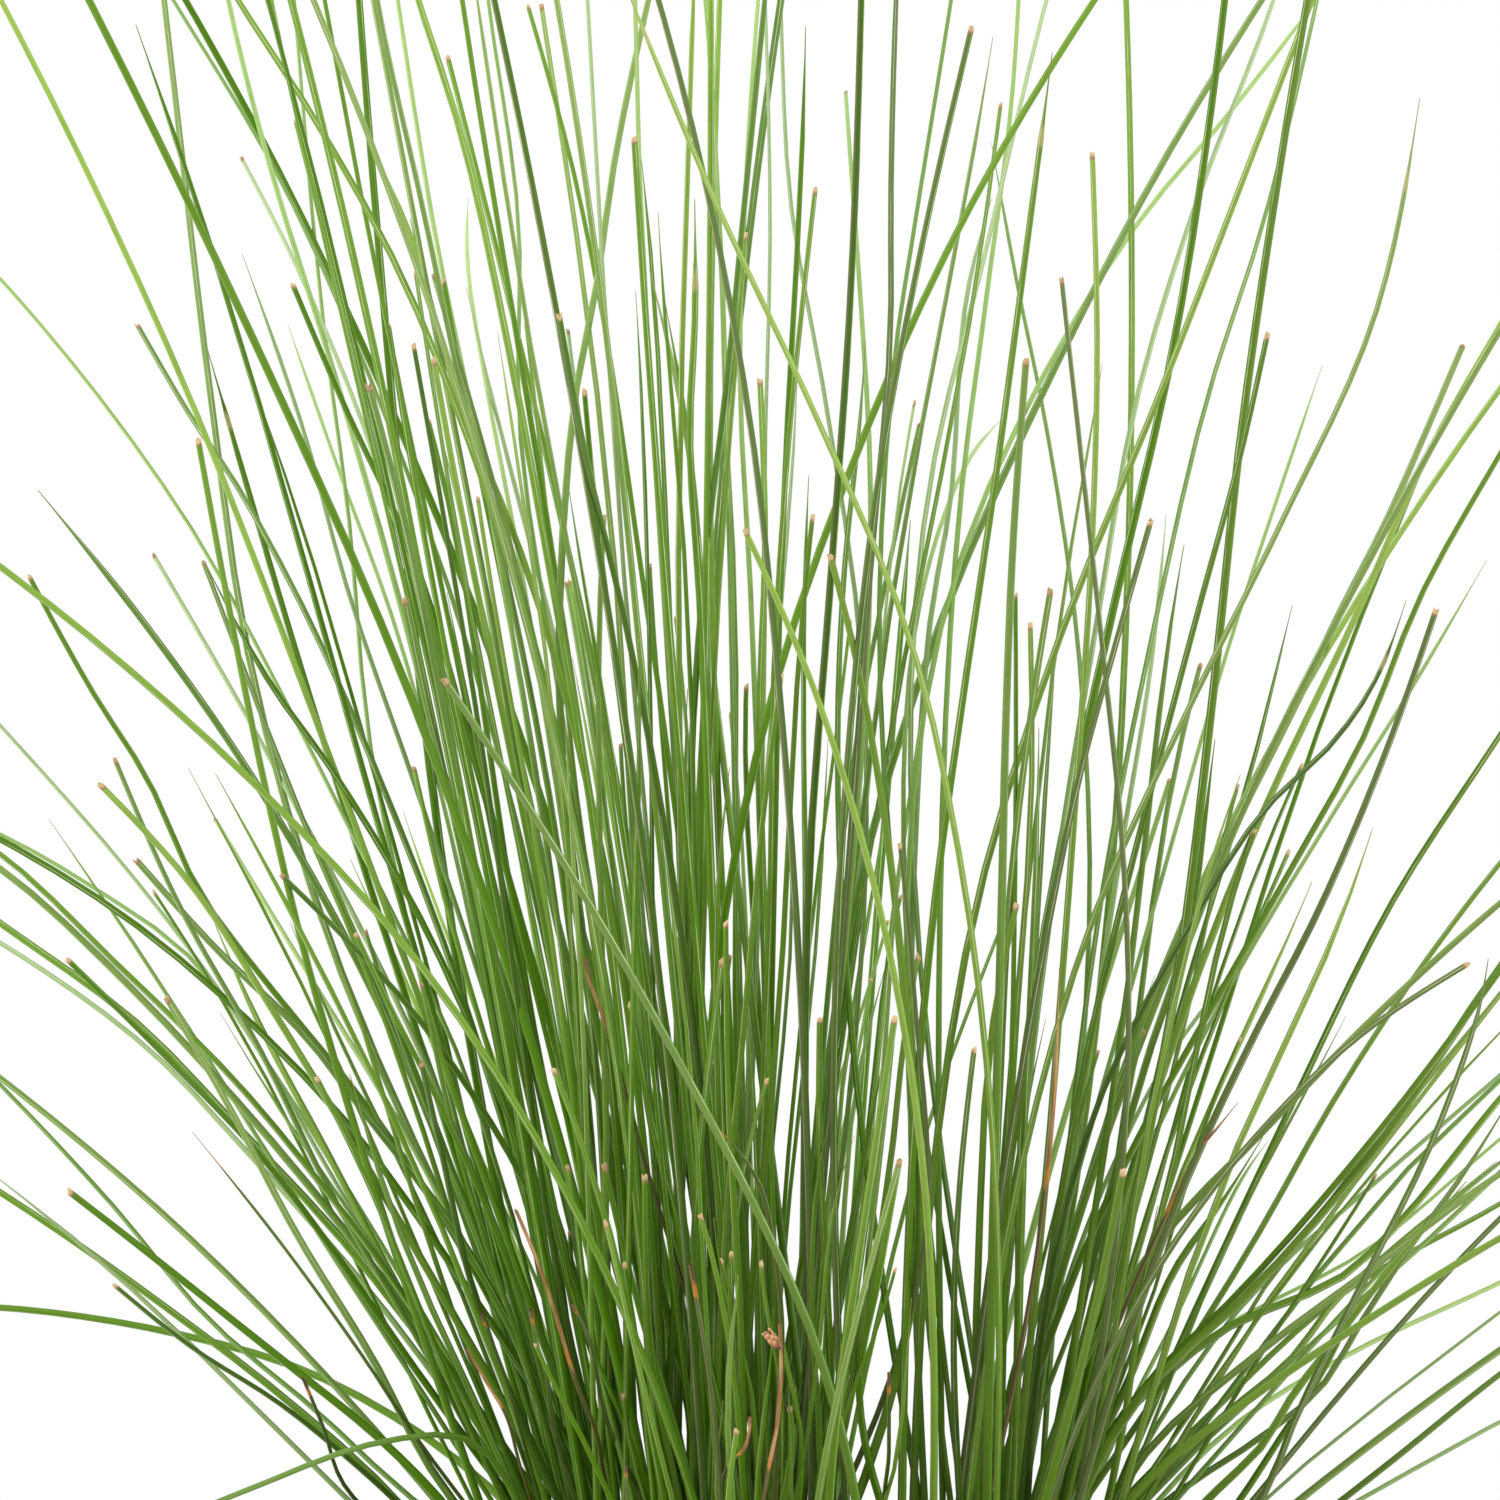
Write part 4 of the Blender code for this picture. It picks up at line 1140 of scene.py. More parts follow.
CLUMPS = (
    Clump("clump_left_front", Finish.GREEN, 30, (-13, -6), 9, (-0.1, -0.1), 0.12, 0.2, 45, 150, 0.16, 0.42),
    Clump("clump_left_back", Finish.GREEN, 20, (-12, 8), 9, (-0.1, 0.14), 0.12, 0.19, 80, 180, 0.18, 0.4),
    Clump("clump_left_tall", Finish.GREEN, 6, (-12, 3), 7, (-0.15, 0.08), 0.05, 0.05, 180, 222, 0.14, 0.36),
    Clump("clump_middle_front", Finish.GREEN, 26, (-4, -13), 7, (-0.04, -0.16), 0.1, 0.2, 40, 105, 0.15, 0.44),
    Clump("clump_middle_back", Finish.YOUNG, 9, (-4, 12), 6, (-0.02, 0.2), 0.1, 0.18, 70, 160, 0.18, 0.38),
    Clump("clump_middle_tall", Finish.YOUNG, 3, (-3, 4), 5, (-0.01, 0.1), 0.05, 0.05, 180, 222, 0.14, 0.36),
    Clump("clump_right_front", Finish.GREEN, 13, (22, -6), 4, (0.14, -0.1), 0.08, 0.13, 45, 120, 0.16, 0.44),
    Clump("clump_right_back", Finish.GREEN, 12, (20, 8), 4, (0.18, 0.14), 0.08, 0.14, 60, 150, 0.18, 0.38),
    Clump("clump_left_wide", Finish.GREEN, 5, (-16, 0), 7, (-0.36, 0.0), 0.15, 0.14, 60, 130, 0.2, 0.34),
    Clump("clump_right_wide", Finish.GREEN, 7, (20, 0), 5, (0.4, 0.0), 0.15, 0.16, 60, 130, 0.2, 0.34),
    Clump("clump_left_low", Finish.YOUNG, 3, (-20, 0), 5, (-0.66, 0.0), 0.12, 0.12, 70, 120, 0.25, 0.34),
    Clump("clump_right_low", Finish.YOUNG, 5, (21, 0), 4, (0.62, 0.0), 0.12, 0.12, 70, 120, 0.25, 0.34),
    Clump("clump_back_wide", Finish.GREEN, 24, (-4, 17), 8, (-0.03, 0.42), 0.2, 0.16, 80, 140, 0.25, 0.36),
    Clump("clump_front_wide", Finish.GREEN, 14, (-4, -18), 7, (-0.05, -0.4), 0.25, 0.12, 40, 80, 0.2, 0.36),
)


@dataclass
class FineStems:
    """The fine stems between the lead ones, grown clump by clump.

    Attributes:
        tree: The tree that grows a clump.
        rings: How many rings each stem has.
    """

    tree: bpy.types.NodeTree
    rings: int = 10

    def build(self, clump: Clump, seed: int) -> bpy.types.Object:
        """Grows one clump.

        Args:
            clump: Its sizes.
            seed: Its random seed.

        Returns:
            The piece.
        """
        inputs = {
            "Count": clump.count,
            "Seed": seed,
            "Patch Centre": (clump.centre[0] * MM, clump.centre[1] * MM, 0.0),
            "Patch Radius": clump.radius * MM,
            "Lean": (*clump.lean, 0.0),
            "Outward": clump.outward,
            "Scatter": clump.scatter,
            "Shortest": clump.shortest * MM,
            "Longest": clump.longest * MM,
            "Droop": clump.droop,
            "Thickness": clump.thickness * MM,
            "Cut Share": clump.cut_share,
            "Rings": self.rings,
            "Material": MATERIALS[clump.finish],
        }
        start = bpy.data.meshes.new(clump.name)
        return rooted(grown(clump.name, start, [(self.tree, inputs)]), "stem_green")


@dataclass(frozen=True)
class PaperyScale:
    """The dry scales of a spent spikelet: tan, paler at the edge, with painted shade at the foot of each scale where
    they overlap.
    """

    name: str = "papery_spikelet_scale"
    base: str = "4a2c18"
    body: str = "9c6a42"
    edge: str = "cc9c6a"

    def make(self) -> bpy.types.Material:
        """Builds the material.

        Returns:
            The material, which reads how far up its scale each point is.
        """
        made = bpy.data.materials.new(self.name)
        made.use_nodes = True
        tree = made.node_tree
        m = Sum(tree)
        shader = tree.nodes["Principled BSDF"]
        up = add(tree, "ShaderNodeAttribute", attribute_name="along", attribute_type="GEOMETRY").outputs["Fac"]
        place = add(tree, "ShaderNodeTexCoord").outputs["Object"]
        mottle = add(tree, "ShaderNodeTexNoise", {"Vector": place, "Scale": 3 / MM, "Detail": 3.0}).outputs["Fac"]
        # Painted shade: the foot of each scale, where the others overlap it, is darkened towards the dark base colour.
        shade = m.ramp(m.do("ADD", up, m.do("MULTIPLY", mottle, 0.5)), 0.5, 0.95)
        body = add(tree, "ShaderNodeMix", {0: shade, 6: linear(self.base), 7: linear(self.body)}, data_type="RGBA")
        rim = m.ramp(m.do("ADD", up, m.do("MULTIPLY", mottle, 0.5)), 0.9, 1.25)
        paper = add(tree, "ShaderNodeMix", {0: rim, 6: body.outputs[2], 7: linear(self.edge)}, data_type="RGBA")
        tree.links.new(paper.outputs[2], shader.inputs["Base Color"])
        tree.links.new(m.do("ADD", 0.55, m.do("MULTIPLY", mottle, 0.2)), shader.inputs["Roughness"])
        return made


@dataclass
class Spikelet:
    """The one spent spikelet, at the joint of a dead stem, under the stem's pointed bract.

    Attributes:
        node: The dead stem's solid.
        below_tip: How far the joint is below its tip.
        axis: Which way the spikelet points.
        length: How far its scales' roots reach up it.
        girth: How far they stand off its axis.
        scales: How many it has.
        scale_length: How long each is.
    """

    node: str = "dry_stem_02"
    below_tip: float = 4.2 * MM
    axis: tuple[float, float, float] = (-0.58, -0.3, 0.76)
    length: float = 1.3 * MM
    girth: float = 0.36 * MM
    scales: int = 18
    scale_length: float = 1.25 * MM

    def tree(self) -> bpy.types.NodeTree:
        """Builds the tree that sets closed, pointed scales in a spiral round an axis.

        Returns:
            The tree, with the inputs Joint, Axis, Count, Length, Girth, Scale Length and Material.
        """
        tree, given, out = group(
            "spikelet_scales",
            {
                "Joint": "NodeSocketVector",
                "Axis": "NodeSocketVector",
                "Count": "NodeSocketInt",
                "Length": "NodeSocketFloat",
                "Girth": "NodeSocketFloat",
                "Scale Length": "NodeSocketFloat",
                "Material": "NodeSocketMaterial",
            },
        )
        m = Sum(tree)
        ball = add(tree, "GeometryNodeMeshUVSphere", {"Segments": 8, "Rings": 5, "Radius": 1.0}).outputs[0]
        here = add(tree, "ShaderNodeSeparateXYZ", {0: add(tree, "GeometryNodeInputPosition").outputs[0]}).outputs
        up = m.do("MULTIPLY_ADD", here[2], 0.5, 0.5)
        ball = store(tree, ball, "along", up)
        cupped = m.do("MULTIPLY", m.do("MULTIPLY", here[1], here[1]), -0.12)
        flare = m.do("MULTIPLY", m.do("MULTIPLY", up, up), -0.06)
        thin = m.do("MULTIPLY", here[0], 0.07)
        wide = m.do("MULTIPLY", here[1], m.do("MULTIPLY_ADD", up, -0.1, 0.34))
        leaf = {0: m.do("ADD", thin, m.do("ADD", cupped, flare)), 1: wide, 2: up}
        leaf = add(tree, "ShaderNodeCombineXYZ", leaf).outputs[0]
        ball = add(tree, "GeometryNodeSetPosition", {"Geometry": ball, "Position": leaf}).outputs[0]

        points = add(tree, "GeometryNodePoints", {"Count": given.outputs["Count"]}).outputs[0]
        index = add(tree, "GeometryNodeInputIndex").outputs[0]
        t = m.do("DIVIDE", index, given.outputs["Count"])
        bearing = m.do("MULTIPLY", index, GOLDEN_ANGLE)
        away = m.do("MULTIPLY", given.outputs["Girth"], m.do("MULTIPLY_ADD", t, -0.25, 1.0))
        side = (m.do("COSINE", bearing), m.do("SINE", bearing))
        root = {0: m.do("MULTIPLY", side[0], away), 1: m.do("MULTIPLY", side[1], away), 2: m.do("MULTIPLY", t, given.outputs["Length"])}
        root = add(tree, "ShaderNodeCombineXYZ", root).outputs[0]
        points = add(tree, "GeometryNodeSetPosition", {"Geometry": points, "Position": root}).outputs[0]
        splay = m.do("MULTIPLY_ADD", t, 0.05, 0.16)
        up_and_out = {0: m.do("MULTIPLY", side[0], splay), 1: m.do("MULTIPLY", side[1], splay), 2: 1.0}
        up_and_out = add(tree, "ShaderNodeCombineXYZ", up_and_out).outputs[0]
        turn = add(tree, "FunctionNodeAlignRotationToVector", {"Vector": up_and_out}, axis="Z").outputs[0]
        outward = add(tree, "ShaderNodeCombineXYZ", {0: side[0], 1: side[1], 2: 0.0}).outputs[0]
        wires = {"Rotation": turn, "Vector": outward}
        turn = add(tree, "FunctionNodeAlignRotationToVector", wires, axis="X", pivot_axis="Z").outputs[0]
        wires = {"Points": points, "Instance": ball, "Rotation": turn, "Scale": given.outputs["Scale Length"]}
        scales = add(tree, "GeometryNodeInstanceOnPoints", wires).outputs[0]
        scales = add(tree, "GeometryNodeRealizeInstances", {"Geometry": scales}).outputs[0]
        lie = add(tree, "FunctionNodeAlignRotationToVector", {"Vector": given.outputs["Axis"]}, axis="Z").outputs[0]
        wires = {"Geometry": scales, "Translation": given.outputs["Joint"], "Rotation": lie}
        scales = add(tree, "GeometryNodeTransform", wires).outputs[0]
        scales = add(tree, "GeometryNodeSetShadeSmooth", {"Geometry": scales, "Shade Smooth": True}).outputs[0]
        wires = {"Geometry": scales, "Material": given.outputs["Material"]}
        tree.links.new(add(tree, "GeometryNodeSetMaterial", wires).outputs[0], out.inputs[0])
        return tree

    def build(self) -> bpy.types.Object:
        """Builds the spikelet on its stem.

        Returns:
            The piece.
        """
        rings = stem_rings(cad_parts[self.node], Vector((0, 0, PLANTING.soil_top)))
        knots = np.array([ring.mean(0) for ring in rings])
        reach = np.concatenate([[0], np.cumsum(np.linalg.norm(np.diff(knots, axis=0), axis=1))])
        joint = smooth(knots, np.array([1 - self.below_tip / reach[-1]]))[0]
        inputs = {
            "Joint": tuple(joint),
            "Axis": self.axis,
            "Count": self.scales,
            "Length": self.length,
            "Girth": self.girth,
            "Scale Length": self.scale_length,
            "Material": PaperyScale().make(),
        }
        start = bpy.data.meshes.new("spent_spikelet")
        return rooted(grown("spent_spikelet", start, [(self.tree(), inputs)]), "stem_dry")


# Pot, potting mix and crown


@dataclass(frozen=True)
class MouldedPlastic:
    """Injection moulded polypropylene: a fine even grain, scuffs, and dust from the mix."""

    name: str = "moulded_polypropylene"
    body: str = "25272a"
    dust: str = "6b5a48"
    grain: float = 0.5 * MM

    def make(self) -> bpy.types.Material:
        """Builds the material: charcoal, half matt, paler where it is scuffed and dusty.

        Returns:
            The material, which reads Object coordinates.
        """
        made = bpy.data.materials.new(self.name)
        made.use_nodes = True
        tree = made.node_tree
        m = Sum(tree)
        shader = tree.nodes["Principled BSDF"]
        place = add(tree, "ShaderNodeTexCoord").outputs["Object"]
        height = add(tree, "ShaderNodeSeparateXYZ", {0: place}).outputs[2]
        grain = add(tree, "ShaderNodeTexNoise", {"Vector": place, "Scale": 1 / self.grain, "Detail": 2.0})
        cloud = add(tree, "ShaderNodeTexNoise", {"Vector": place, "Scale": 1 / (18 * MM), "Detail": 5.0})
        flat = add(tree, "ShaderNodeVectorMath", {0: place, 1: (1.0, 1.0, 0.06)}, operation="MULTIPLY").outputs[0]
        scuffs = add(tree, "ShaderNodeTexNoise", {"Vector": flat, "Scale": 1 / (0.9 * MM), "Detail": 3.0, "Roughness": 0.7})
        worn = m.do("MULTIPLY", m.ramp(scuffs.outputs["Fac"], 0.62, 0.78), m.ramp(cloud.outputs["Fac"], 0.45, 0.65))
        near_rim = m.ramp(height, 82 * MM, 92 * MM)
        near_foot = m.ramp(height, 14 * MM, 0.0)
        dusty = m.do("MULTIPLY", m.do("MAXIMUM", near_rim, near_foot), m.ramp(cloud.outputs["Fac"], 0.4, 0.62))
        dusty = m.do("MULTIPLY", dusty, m.ramp(grain.outputs["Fac"], 0.42, 0.6))
        pale = add(tree, "ShaderNodeMix", {0: m.do("MULTIPLY", worn, 0.35), 6: linear(self.body), 7: linear("8d9092")}, data_type="RGBA")
        base = add(tree, "ShaderNodeMix", {0: m.do("MULTIPLY", dusty, 0.6), 6: pale.outputs[2], 7: linear(self.dust)}, data_type="RGBA")
        tree.links.new(base.outputs[2], shader.inputs["Base Color"])
        rough = m.do("ADD", 0.42, m.do("ADD", m.do("MULTIPLY", worn, 0.2), m.do("MULTIPLY", dusty, 0.35)))
        tree.links.new(rough, shader.inputs["Roughness"])
        shader.inputs["IOR"].default_value = 1.49
        bump = add(tree, "ShaderNodeBump", {"Strength": 0.25, "Distance": 0.04 * MM, "Height": grain.outputs["Fac"]})
        tree.links.new(bump.outputs[0], shader.inputs["Normal"])
        return made


@dataclass(frozen=True)
class Crumb:
    """A loose dry or moist bit, with a mottled colour and a rough broken surface."""

    name: str
    dark: str
    light: str
    grain: float
    roughness: float
    streak: tuple[float, float, float] = (1.0, 1.0, 1.0)

    def make(self) -> bpy.types.Material:
        """Builds the material.

        Returns:
            The material, which reads Object coordinates.
        """
        made = bpy.data.materials.new(self.name)
        made.use_nodes = True
        tree = made.node_tree
        m = Sum(tree)
        shader = tree.nodes["Principled BSDF"]
        place = add(tree, "ShaderNodeTexCoord").outputs["Object"]
        place = add(tree, "ShaderNodeVectorMath", {0: place, 1: self.streak}, operation="MULTIPLY").outputs[0]
        fine = add(tree, "ShaderNodeTexNoise", {"Vector": place, "Scale": 1 / self.grain, "Detail": 6.0, "Roughness": 0.65})
        broad = add(tree, "ShaderNodeTexNoise", {"Vector": place, "Scale": 0.12 / self.grain, "Detail": 2.0})
        mottle = m.ramp(m.do("ADD", m.do("MULTIPLY", fine.outputs["Fac"], 0.6), m.do("MULTIPLY", broad.outputs["Fac"], 0.5)), 0.4, 0.72)
        base = add(tree, "ShaderNodeMix", {0: mottle, 6: linear(self.dark), 7: linear(self.light)}, data_type="RGBA")
        tree.links.new(base.outputs[2], shader.inputs["Base Color"])
        shader.inputs["Roughness"].default_value = self.roughness
        bump = add(tree, "ShaderNodeBump", {"Strength": 0.8, "Distance": 0.25 * self.grain, "Height": fine.outputs["Fac"]})
        tree.links.new(bump.outputs[0], shader.inputs["Normal"])
        return made


# Moist sphagnum peat: dark brown, matt, with rusty fibres
PEAT = Crumb("moist_peat", "1e1510", "4a3424", 1.2 * MM, 0.93)
# Composted pine bark: redder and lighter chips with a lengthwise grain
BARK = Crumb("composted_bark", "3a2417", "7d5636", 0.8 * MM, 0.85, (1.0, 1.0, 3.0))
# Expanded perlite: white, dusty, popped stone
PERLITE = Crumb("expanded_perlite", "c9c4ba", "f2efe8", 0.7 * MM, 0.9)
# Old leaf sheaths, papery and fibrous: chestnut at the foot to straw at the lip
SHEATHS = Crumb("papery_old_sheath", "6a4526", "b8935f", 1.1 * MM, 0.75, (1.0, 1.0, 0.12))


def turned(name: str, profile: list[tuple[float, float]], steps: int) -> bpy.types.Mesh:
    """Turns a profile round the Z axis into a closed mesh.

    Args:
        name: The mesh's name.
        profile: Radius and height pairs, down its outer side, from the axis to the axis.
        steps: How many flats make the circle.

    Returns:
        The mesh, with its faces outwards and in a fixed order, so that each run scatters alike.
    """
    nearest = 0.001 * MM
    kept = [pair for i, pair in enumerate(profile) if i == 0 or math.dist(pair, profile[i - 1]) > nearest]
    corners, rings = [], []
    for radius, height in kept:
        count = steps if radius > nearest else 1
        rings.append([len(corners) + i % count for i in range(steps + 1)])
        for i in range(count):
            angle = math.tau * i / steps
            corners.append((radius * math.cos(angle), radius * math.sin(angle), height))
    faces = []
    for ring, after in zip(rings, rings[1:]):
        for i in range(steps):
            # At the axis two of the four corners are one point, which leaves a triangle.
            faces.append(tuple(dict.fromkeys((ring[i], ring[i + 1], after[i + 1], after[i]))))
    mesh = bpy.data.meshes.new(name)
    mesh.from_pydata(corners, [], faces)
    shape = bmesh.new()
    shape.from_mesh(mesh)
    bmesh.ops.recalc_face_normals(shape, faces=shape.faces)
    shape.to_mesh(mesh)
    shape.free()
    return mesh


def rounded(profile: list[tuple[float, float, float]], steps: int = 4) -> list[tuple[float, float]]:
    """Rounds the corners of a profile.

    Args:
        profile: Radius, height and corner round of each corner.
        steps: How many flats make each round.

    Returns:
        The rounded profile, as radius and height pairs.
    """
    places = [Vector((radius, height)) for radius, height, _ in profile]
    made = []
    for i, (radius, height, bend) in enumerate(profile):
        if bend == 0 or i in (0, len(profile) - 1):
            made.append((radius, height))
            continue
        before, here, after = places[i - 1], places[i], places[i + 1]
        back = min(bend, 0.45 * (before - here).length)
        ahead = min(bend, 0.45 * (after - here).length)
        start = here + (before - here).normalized() * back
        end = here + (after - here).normalized() * ahead
        for k in range(steps + 1):
            t = k / steps
            point = start * (1 - t) ** 2 + here * (2 * t * (1 - t)) + end * t**2
            made.append((point.x, point.y))
    return made


@dataclass
class NurseryPot:
    """The tapered pot, with its collar, foot, drain holes and notches, as the solid has them."""

    height: float = 92 * MM
    base_radius: float = 38 * MM
    top_radius: float = 53 * MM
    wall: float = 1.4 * MM
    floor: float = 1.8 * MM
    foot: float = 2.0 * MM
    hub_radius: float = 16 * MM
    foot_inner: float = 31 * MM
    collar: float = 12 * MM
    step: float = 2.0 * MM
    soft_edge: float = 0.7 * MM
    drain_radius: float = 4 * MM
    drain_ring: float = 23.5 * MM
    drains: int = 8
    notches: int = 4

    def outer(self, height: float) -> float:
        """The wall's outer radius at a height, below the collar."""
        return self.base_radius + (self.top_radius - self.base_radius) * height / self.height

    def profile(self) -> list[tuple[float, float, float]]:
        """The pot's section: radius, height and corner round, down its inside and up its outside."""
        floor_top = self.foot + self.floor
        under = self.height - self.collar
        inner = self.outer(self.height) - self.wall
        edge = self.soft_edge
        return [
            (0, floor_top, 0),
            (self.outer(floor_top) - self.wall, floor_top, 2 * edge),
            (inner, self.height, edge),
            (self.outer(self.height) + self.step, self.height, edge),
            (self.outer(under) + self.step, under, edge),
            (self.outer(under), under, edge / 2),
            (self.outer(0), 0, edge),
            (self.foot_inner, 0, edge / 2),
            (self.foot_inner - 0.8 * MM, self.foot, edge / 2),
            (self.hub_radius + 0.8 * MM, self.foot, edge / 2),
            (self.hub_radius, 0, edge / 2),
            (0, 0, 0),
        ]

    def cutters(self) -> bpy.types.Object:
        """Makes the drain holes' and the notches' cutters, as one helper."""
        shape = bmesh.new()
        for i in range(self.drains):
            turn = Matrix.Rotation(math.tau * i / self.drains, 4, "Z")
            place = turn @ Matrix.Translation((self.drain_ring, 0, self.foot + self.floor / 2))
            bmesh.ops.create_cone(
                shape,
                cap_ends=True,
                segments=32,
                radius1=self.drain_radius,
                radius2=self.drain_radius,
                depth=4 * self.floor,
                matrix=place,
            )
        middle = (self.foot_inner + self.base_radius) / 2
        size = Matrix.Diagonal((2 * (self.base_radius - self.foot_inner), 5 * MM, 2.8 * MM, 1))
        for i in range(self.notches):
            turn = Matrix.Rotation(math.tau * (i + 0.5) / self.notches, 4, "Z")
            bmesh.ops.create_cube(shape, size=1, matrix=turn @ Matrix.Translation((middle, 0, 0)) @ size)
        mesh = bpy.data.meshes.new("pot_cutters")
        shape.to_mesh(mesh)
        shape.free()
        helper = bpy.data.objects.new("pot_cutters", mesh)
        bpy.context.scene.collection.objects.link(helper)
        return helper

    def build(self, plastic: bpy.types.Material) -> bpy.types.Object:
        """Builds the pot.

        Args:
            plastic: Its material.

        Returns:
            The piece.
        """
        blank = bpy.data.objects.new("pot_blank", turned("pot_blank", rounded(self.profile()), 144))
        bpy.context.scene.collection.objects.link(blank)
        cutters = self.cutters()
        cut = blank.modifiers.new("cut", "BOOLEAN")
        cut.operation, cut.object, cut.solver = "DIFFERENCE", cutters, "EXACT"
        graph = bpy.context.evaluated_depsgraph_get()
        mesh = bpy.data.meshes.new_from_object(blank.evaluated_get(graph), depsgraph=graph)
        bpy.data.objects.remove(blank)
        bpy.data.objects.remove(cutters)
        mesh.materials.clear()
        mesh.materials.append(plastic)
        mesh.shade_smooth()
        mesh.set_sharp_from_angle(angle=math.radians(38))
        pot = bpy.data.objects.new("nursery_pot", mesh)
        bpy.context.scene.collection.objects.link(pot)
        return rooted(pot, "pot_plastic", "pot")


def scatter_tree(name: str, form: str) -> bpy.types.NodeTree:
    """Builds a tree that scatters bits over the ground of a surface, and keeps the surface.

    Args:
        name: The tree's name.
        form: "crumb" for a rough lump, "sheath" for a narrow tapered sleeve that leans outward.

    Returns:
        The tree, with the inputs Density, Size, Size Spread, Stretch, Seed and Material.
    """
    tree, given, out = group(
        name,
        {
            "Density": "NodeSocketFloat",
            "Size": "NodeSocketFloat",
            "Size Spread": "NodeSocketFloat",
            "Stretch": "NodeSocketVector",
            "Seed": "NodeSocketInt",
            "Material": "NodeSocketMaterial",
        },
    )
    m = Sum(tree)
    surface = given.outputs["Geometry"]
    top = add(tree, "FunctionNodeCompare", {"A": named(tree, "ground"), "B": 0.5}, operation="GREATER_THAN").outputs[0]
    wires = {"Mesh": surface, "Selection": top, "Density": given.outputs["Density"], "Seed": given.outputs["Seed"]}
    spread = add(tree, "GeometryNodeDistributePointsOnFaces", wires)
    low = m.do("SUBTRACT", 1.0, given.outputs["Size Spread"])
    high = m.do("ADD", 1.0, given.outputs["Size Spread"])
    size = add(tree, "FunctionNodeRandomValue", {"Min": low, "Max": high, "Seed": given.outputs["Seed"]}).outputs[1]
    scale = add(
        tree,
        "ShaderNodeVectorMath",
        {0: given.outputs["Stretch"], "Scale": m.do("MULTIPLY", size, given.outputs["Size"])},
        operation="SCALE",
    ).outputs[0]
    if form == "crumb":
        bit = add(tree, "GeometryNodeMeshIcoSphere", {"Radius": 1.0, "Subdivisions": 2}).outputs[0]
        spin = add(tree, "FunctionNodeRandomValue", {0: (0, 0, 0), 1: (math.tau,) * 3}, data_type="FLOAT_VECTOR").outputs[0]
        turn = add(tree, "FunctionNodeEulerToRotation", {0: spin}).outputs[0]
    else:
        wires = {"Vertices": 7, "Side Segments": 2, "Radius Top": 0.045, "Radius Bottom": 0.09, "Depth": 1.0}
        bit = add(tree, "GeometryNodeMeshCone", wires).outputs[0]
        place = add(tree, "GeometryNodeInputPosition").outputs[0]
        jitter = add(tree, "FunctionNodeRandomValue", {0: (-8 * MM, -8 * MM, 26 * MM), 1: (8 * MM, 8 * MM, 48 * MM)}, data_type="FLOAT_VECTOR").outputs[0]
        flat = add(tree, "ShaderNodeVectorMath", {0: place, 1: (1.0, 1.0, 0.0)}, operation="MULTIPLY").outputs[0]
        away = add(tree, "ShaderNodeVectorMath", {0: flat, 1: jitter}, operation="ADD").outputs[0]
        turn = add(tree, "FunctionNodeAlignRotationToVector", {"Vector": away}, axis="Z").outputs[0]
    bits = add(
        tree,
        "GeometryNodeInstanceOnPoints",
        {"Points": spread.outputs["Points"], "Instance": bit, "Rotation": turn, "Scale": scale},
    ).outputs[0]
    bits = add(tree, "GeometryNodeRealizeInstances", {"Geometry": bits}).outputs[0]
    if form == "crumb":
        here = add(tree, "GeometryNodeInputPosition").outputs[0]
        rough = add(tree, "ShaderNodeTexNoise", {"Vector": here, "Scale": 0.9 / MM, "Detail": 1.0}).outputs["Color"]
        off = add(tree, "ShaderNodeVectorMath", {0: rough, 1: (0.5, 0.5, 0.5)}, operation="SUBTRACT").outputs[0]
        off = add(tree, "ShaderNodeVectorMath", {0: off, "Scale": m.do("MULTIPLY", given.outputs["Size"], 1.6)}, operation="SCALE").outputs[0]
        bits = add(tree, "GeometryNodeSetPosition", {"Geometry": bits, "Offset": off}).outputs[0]
    bits = add(tree, "GeometryNodeSetShadeSmooth", {"Geometry": bits, "Shade Smooth": form == "sheath"}).outputs[0]
    bits = add(tree, "GeometryNodeSetMaterial", {"Geometry": bits, "Material": given.outputs["Material"]}).outputs[0]
    both = add(tree, "GeometryNodeJoinGeometry")
    tree.links.new(surface, both.inputs[0])
    tree.links.new(bits, both.inputs[0])
    tree.links.new(both.outputs[0], out.inputs[0])
    return tree


def grounded(mesh: bpy.types.Mesh, lowest: float, inner: float, outer: float) -> bpy.types.Mesh:
    """Marks the ground that bits are scattered over.

    Args:
        mesh: The surface.
        lowest: The ground's least height.
        inner: Its least distance from the pot's axis.
        outer: Its greatest distance from it.

    Returns:
        The same mesh, with the attribute "ground" at 1 there.
    """
    ground = mesh.attributes.new("ground", "FLOAT", "POINT")
    for vertex, mark in zip(mesh.vertices, ground.data):
        radius = math.hypot(vertex.co.x, vertex.co.y)
        mark.value = float(vertex.co.z > lowest and inner <= radius <= outer)
    return mesh


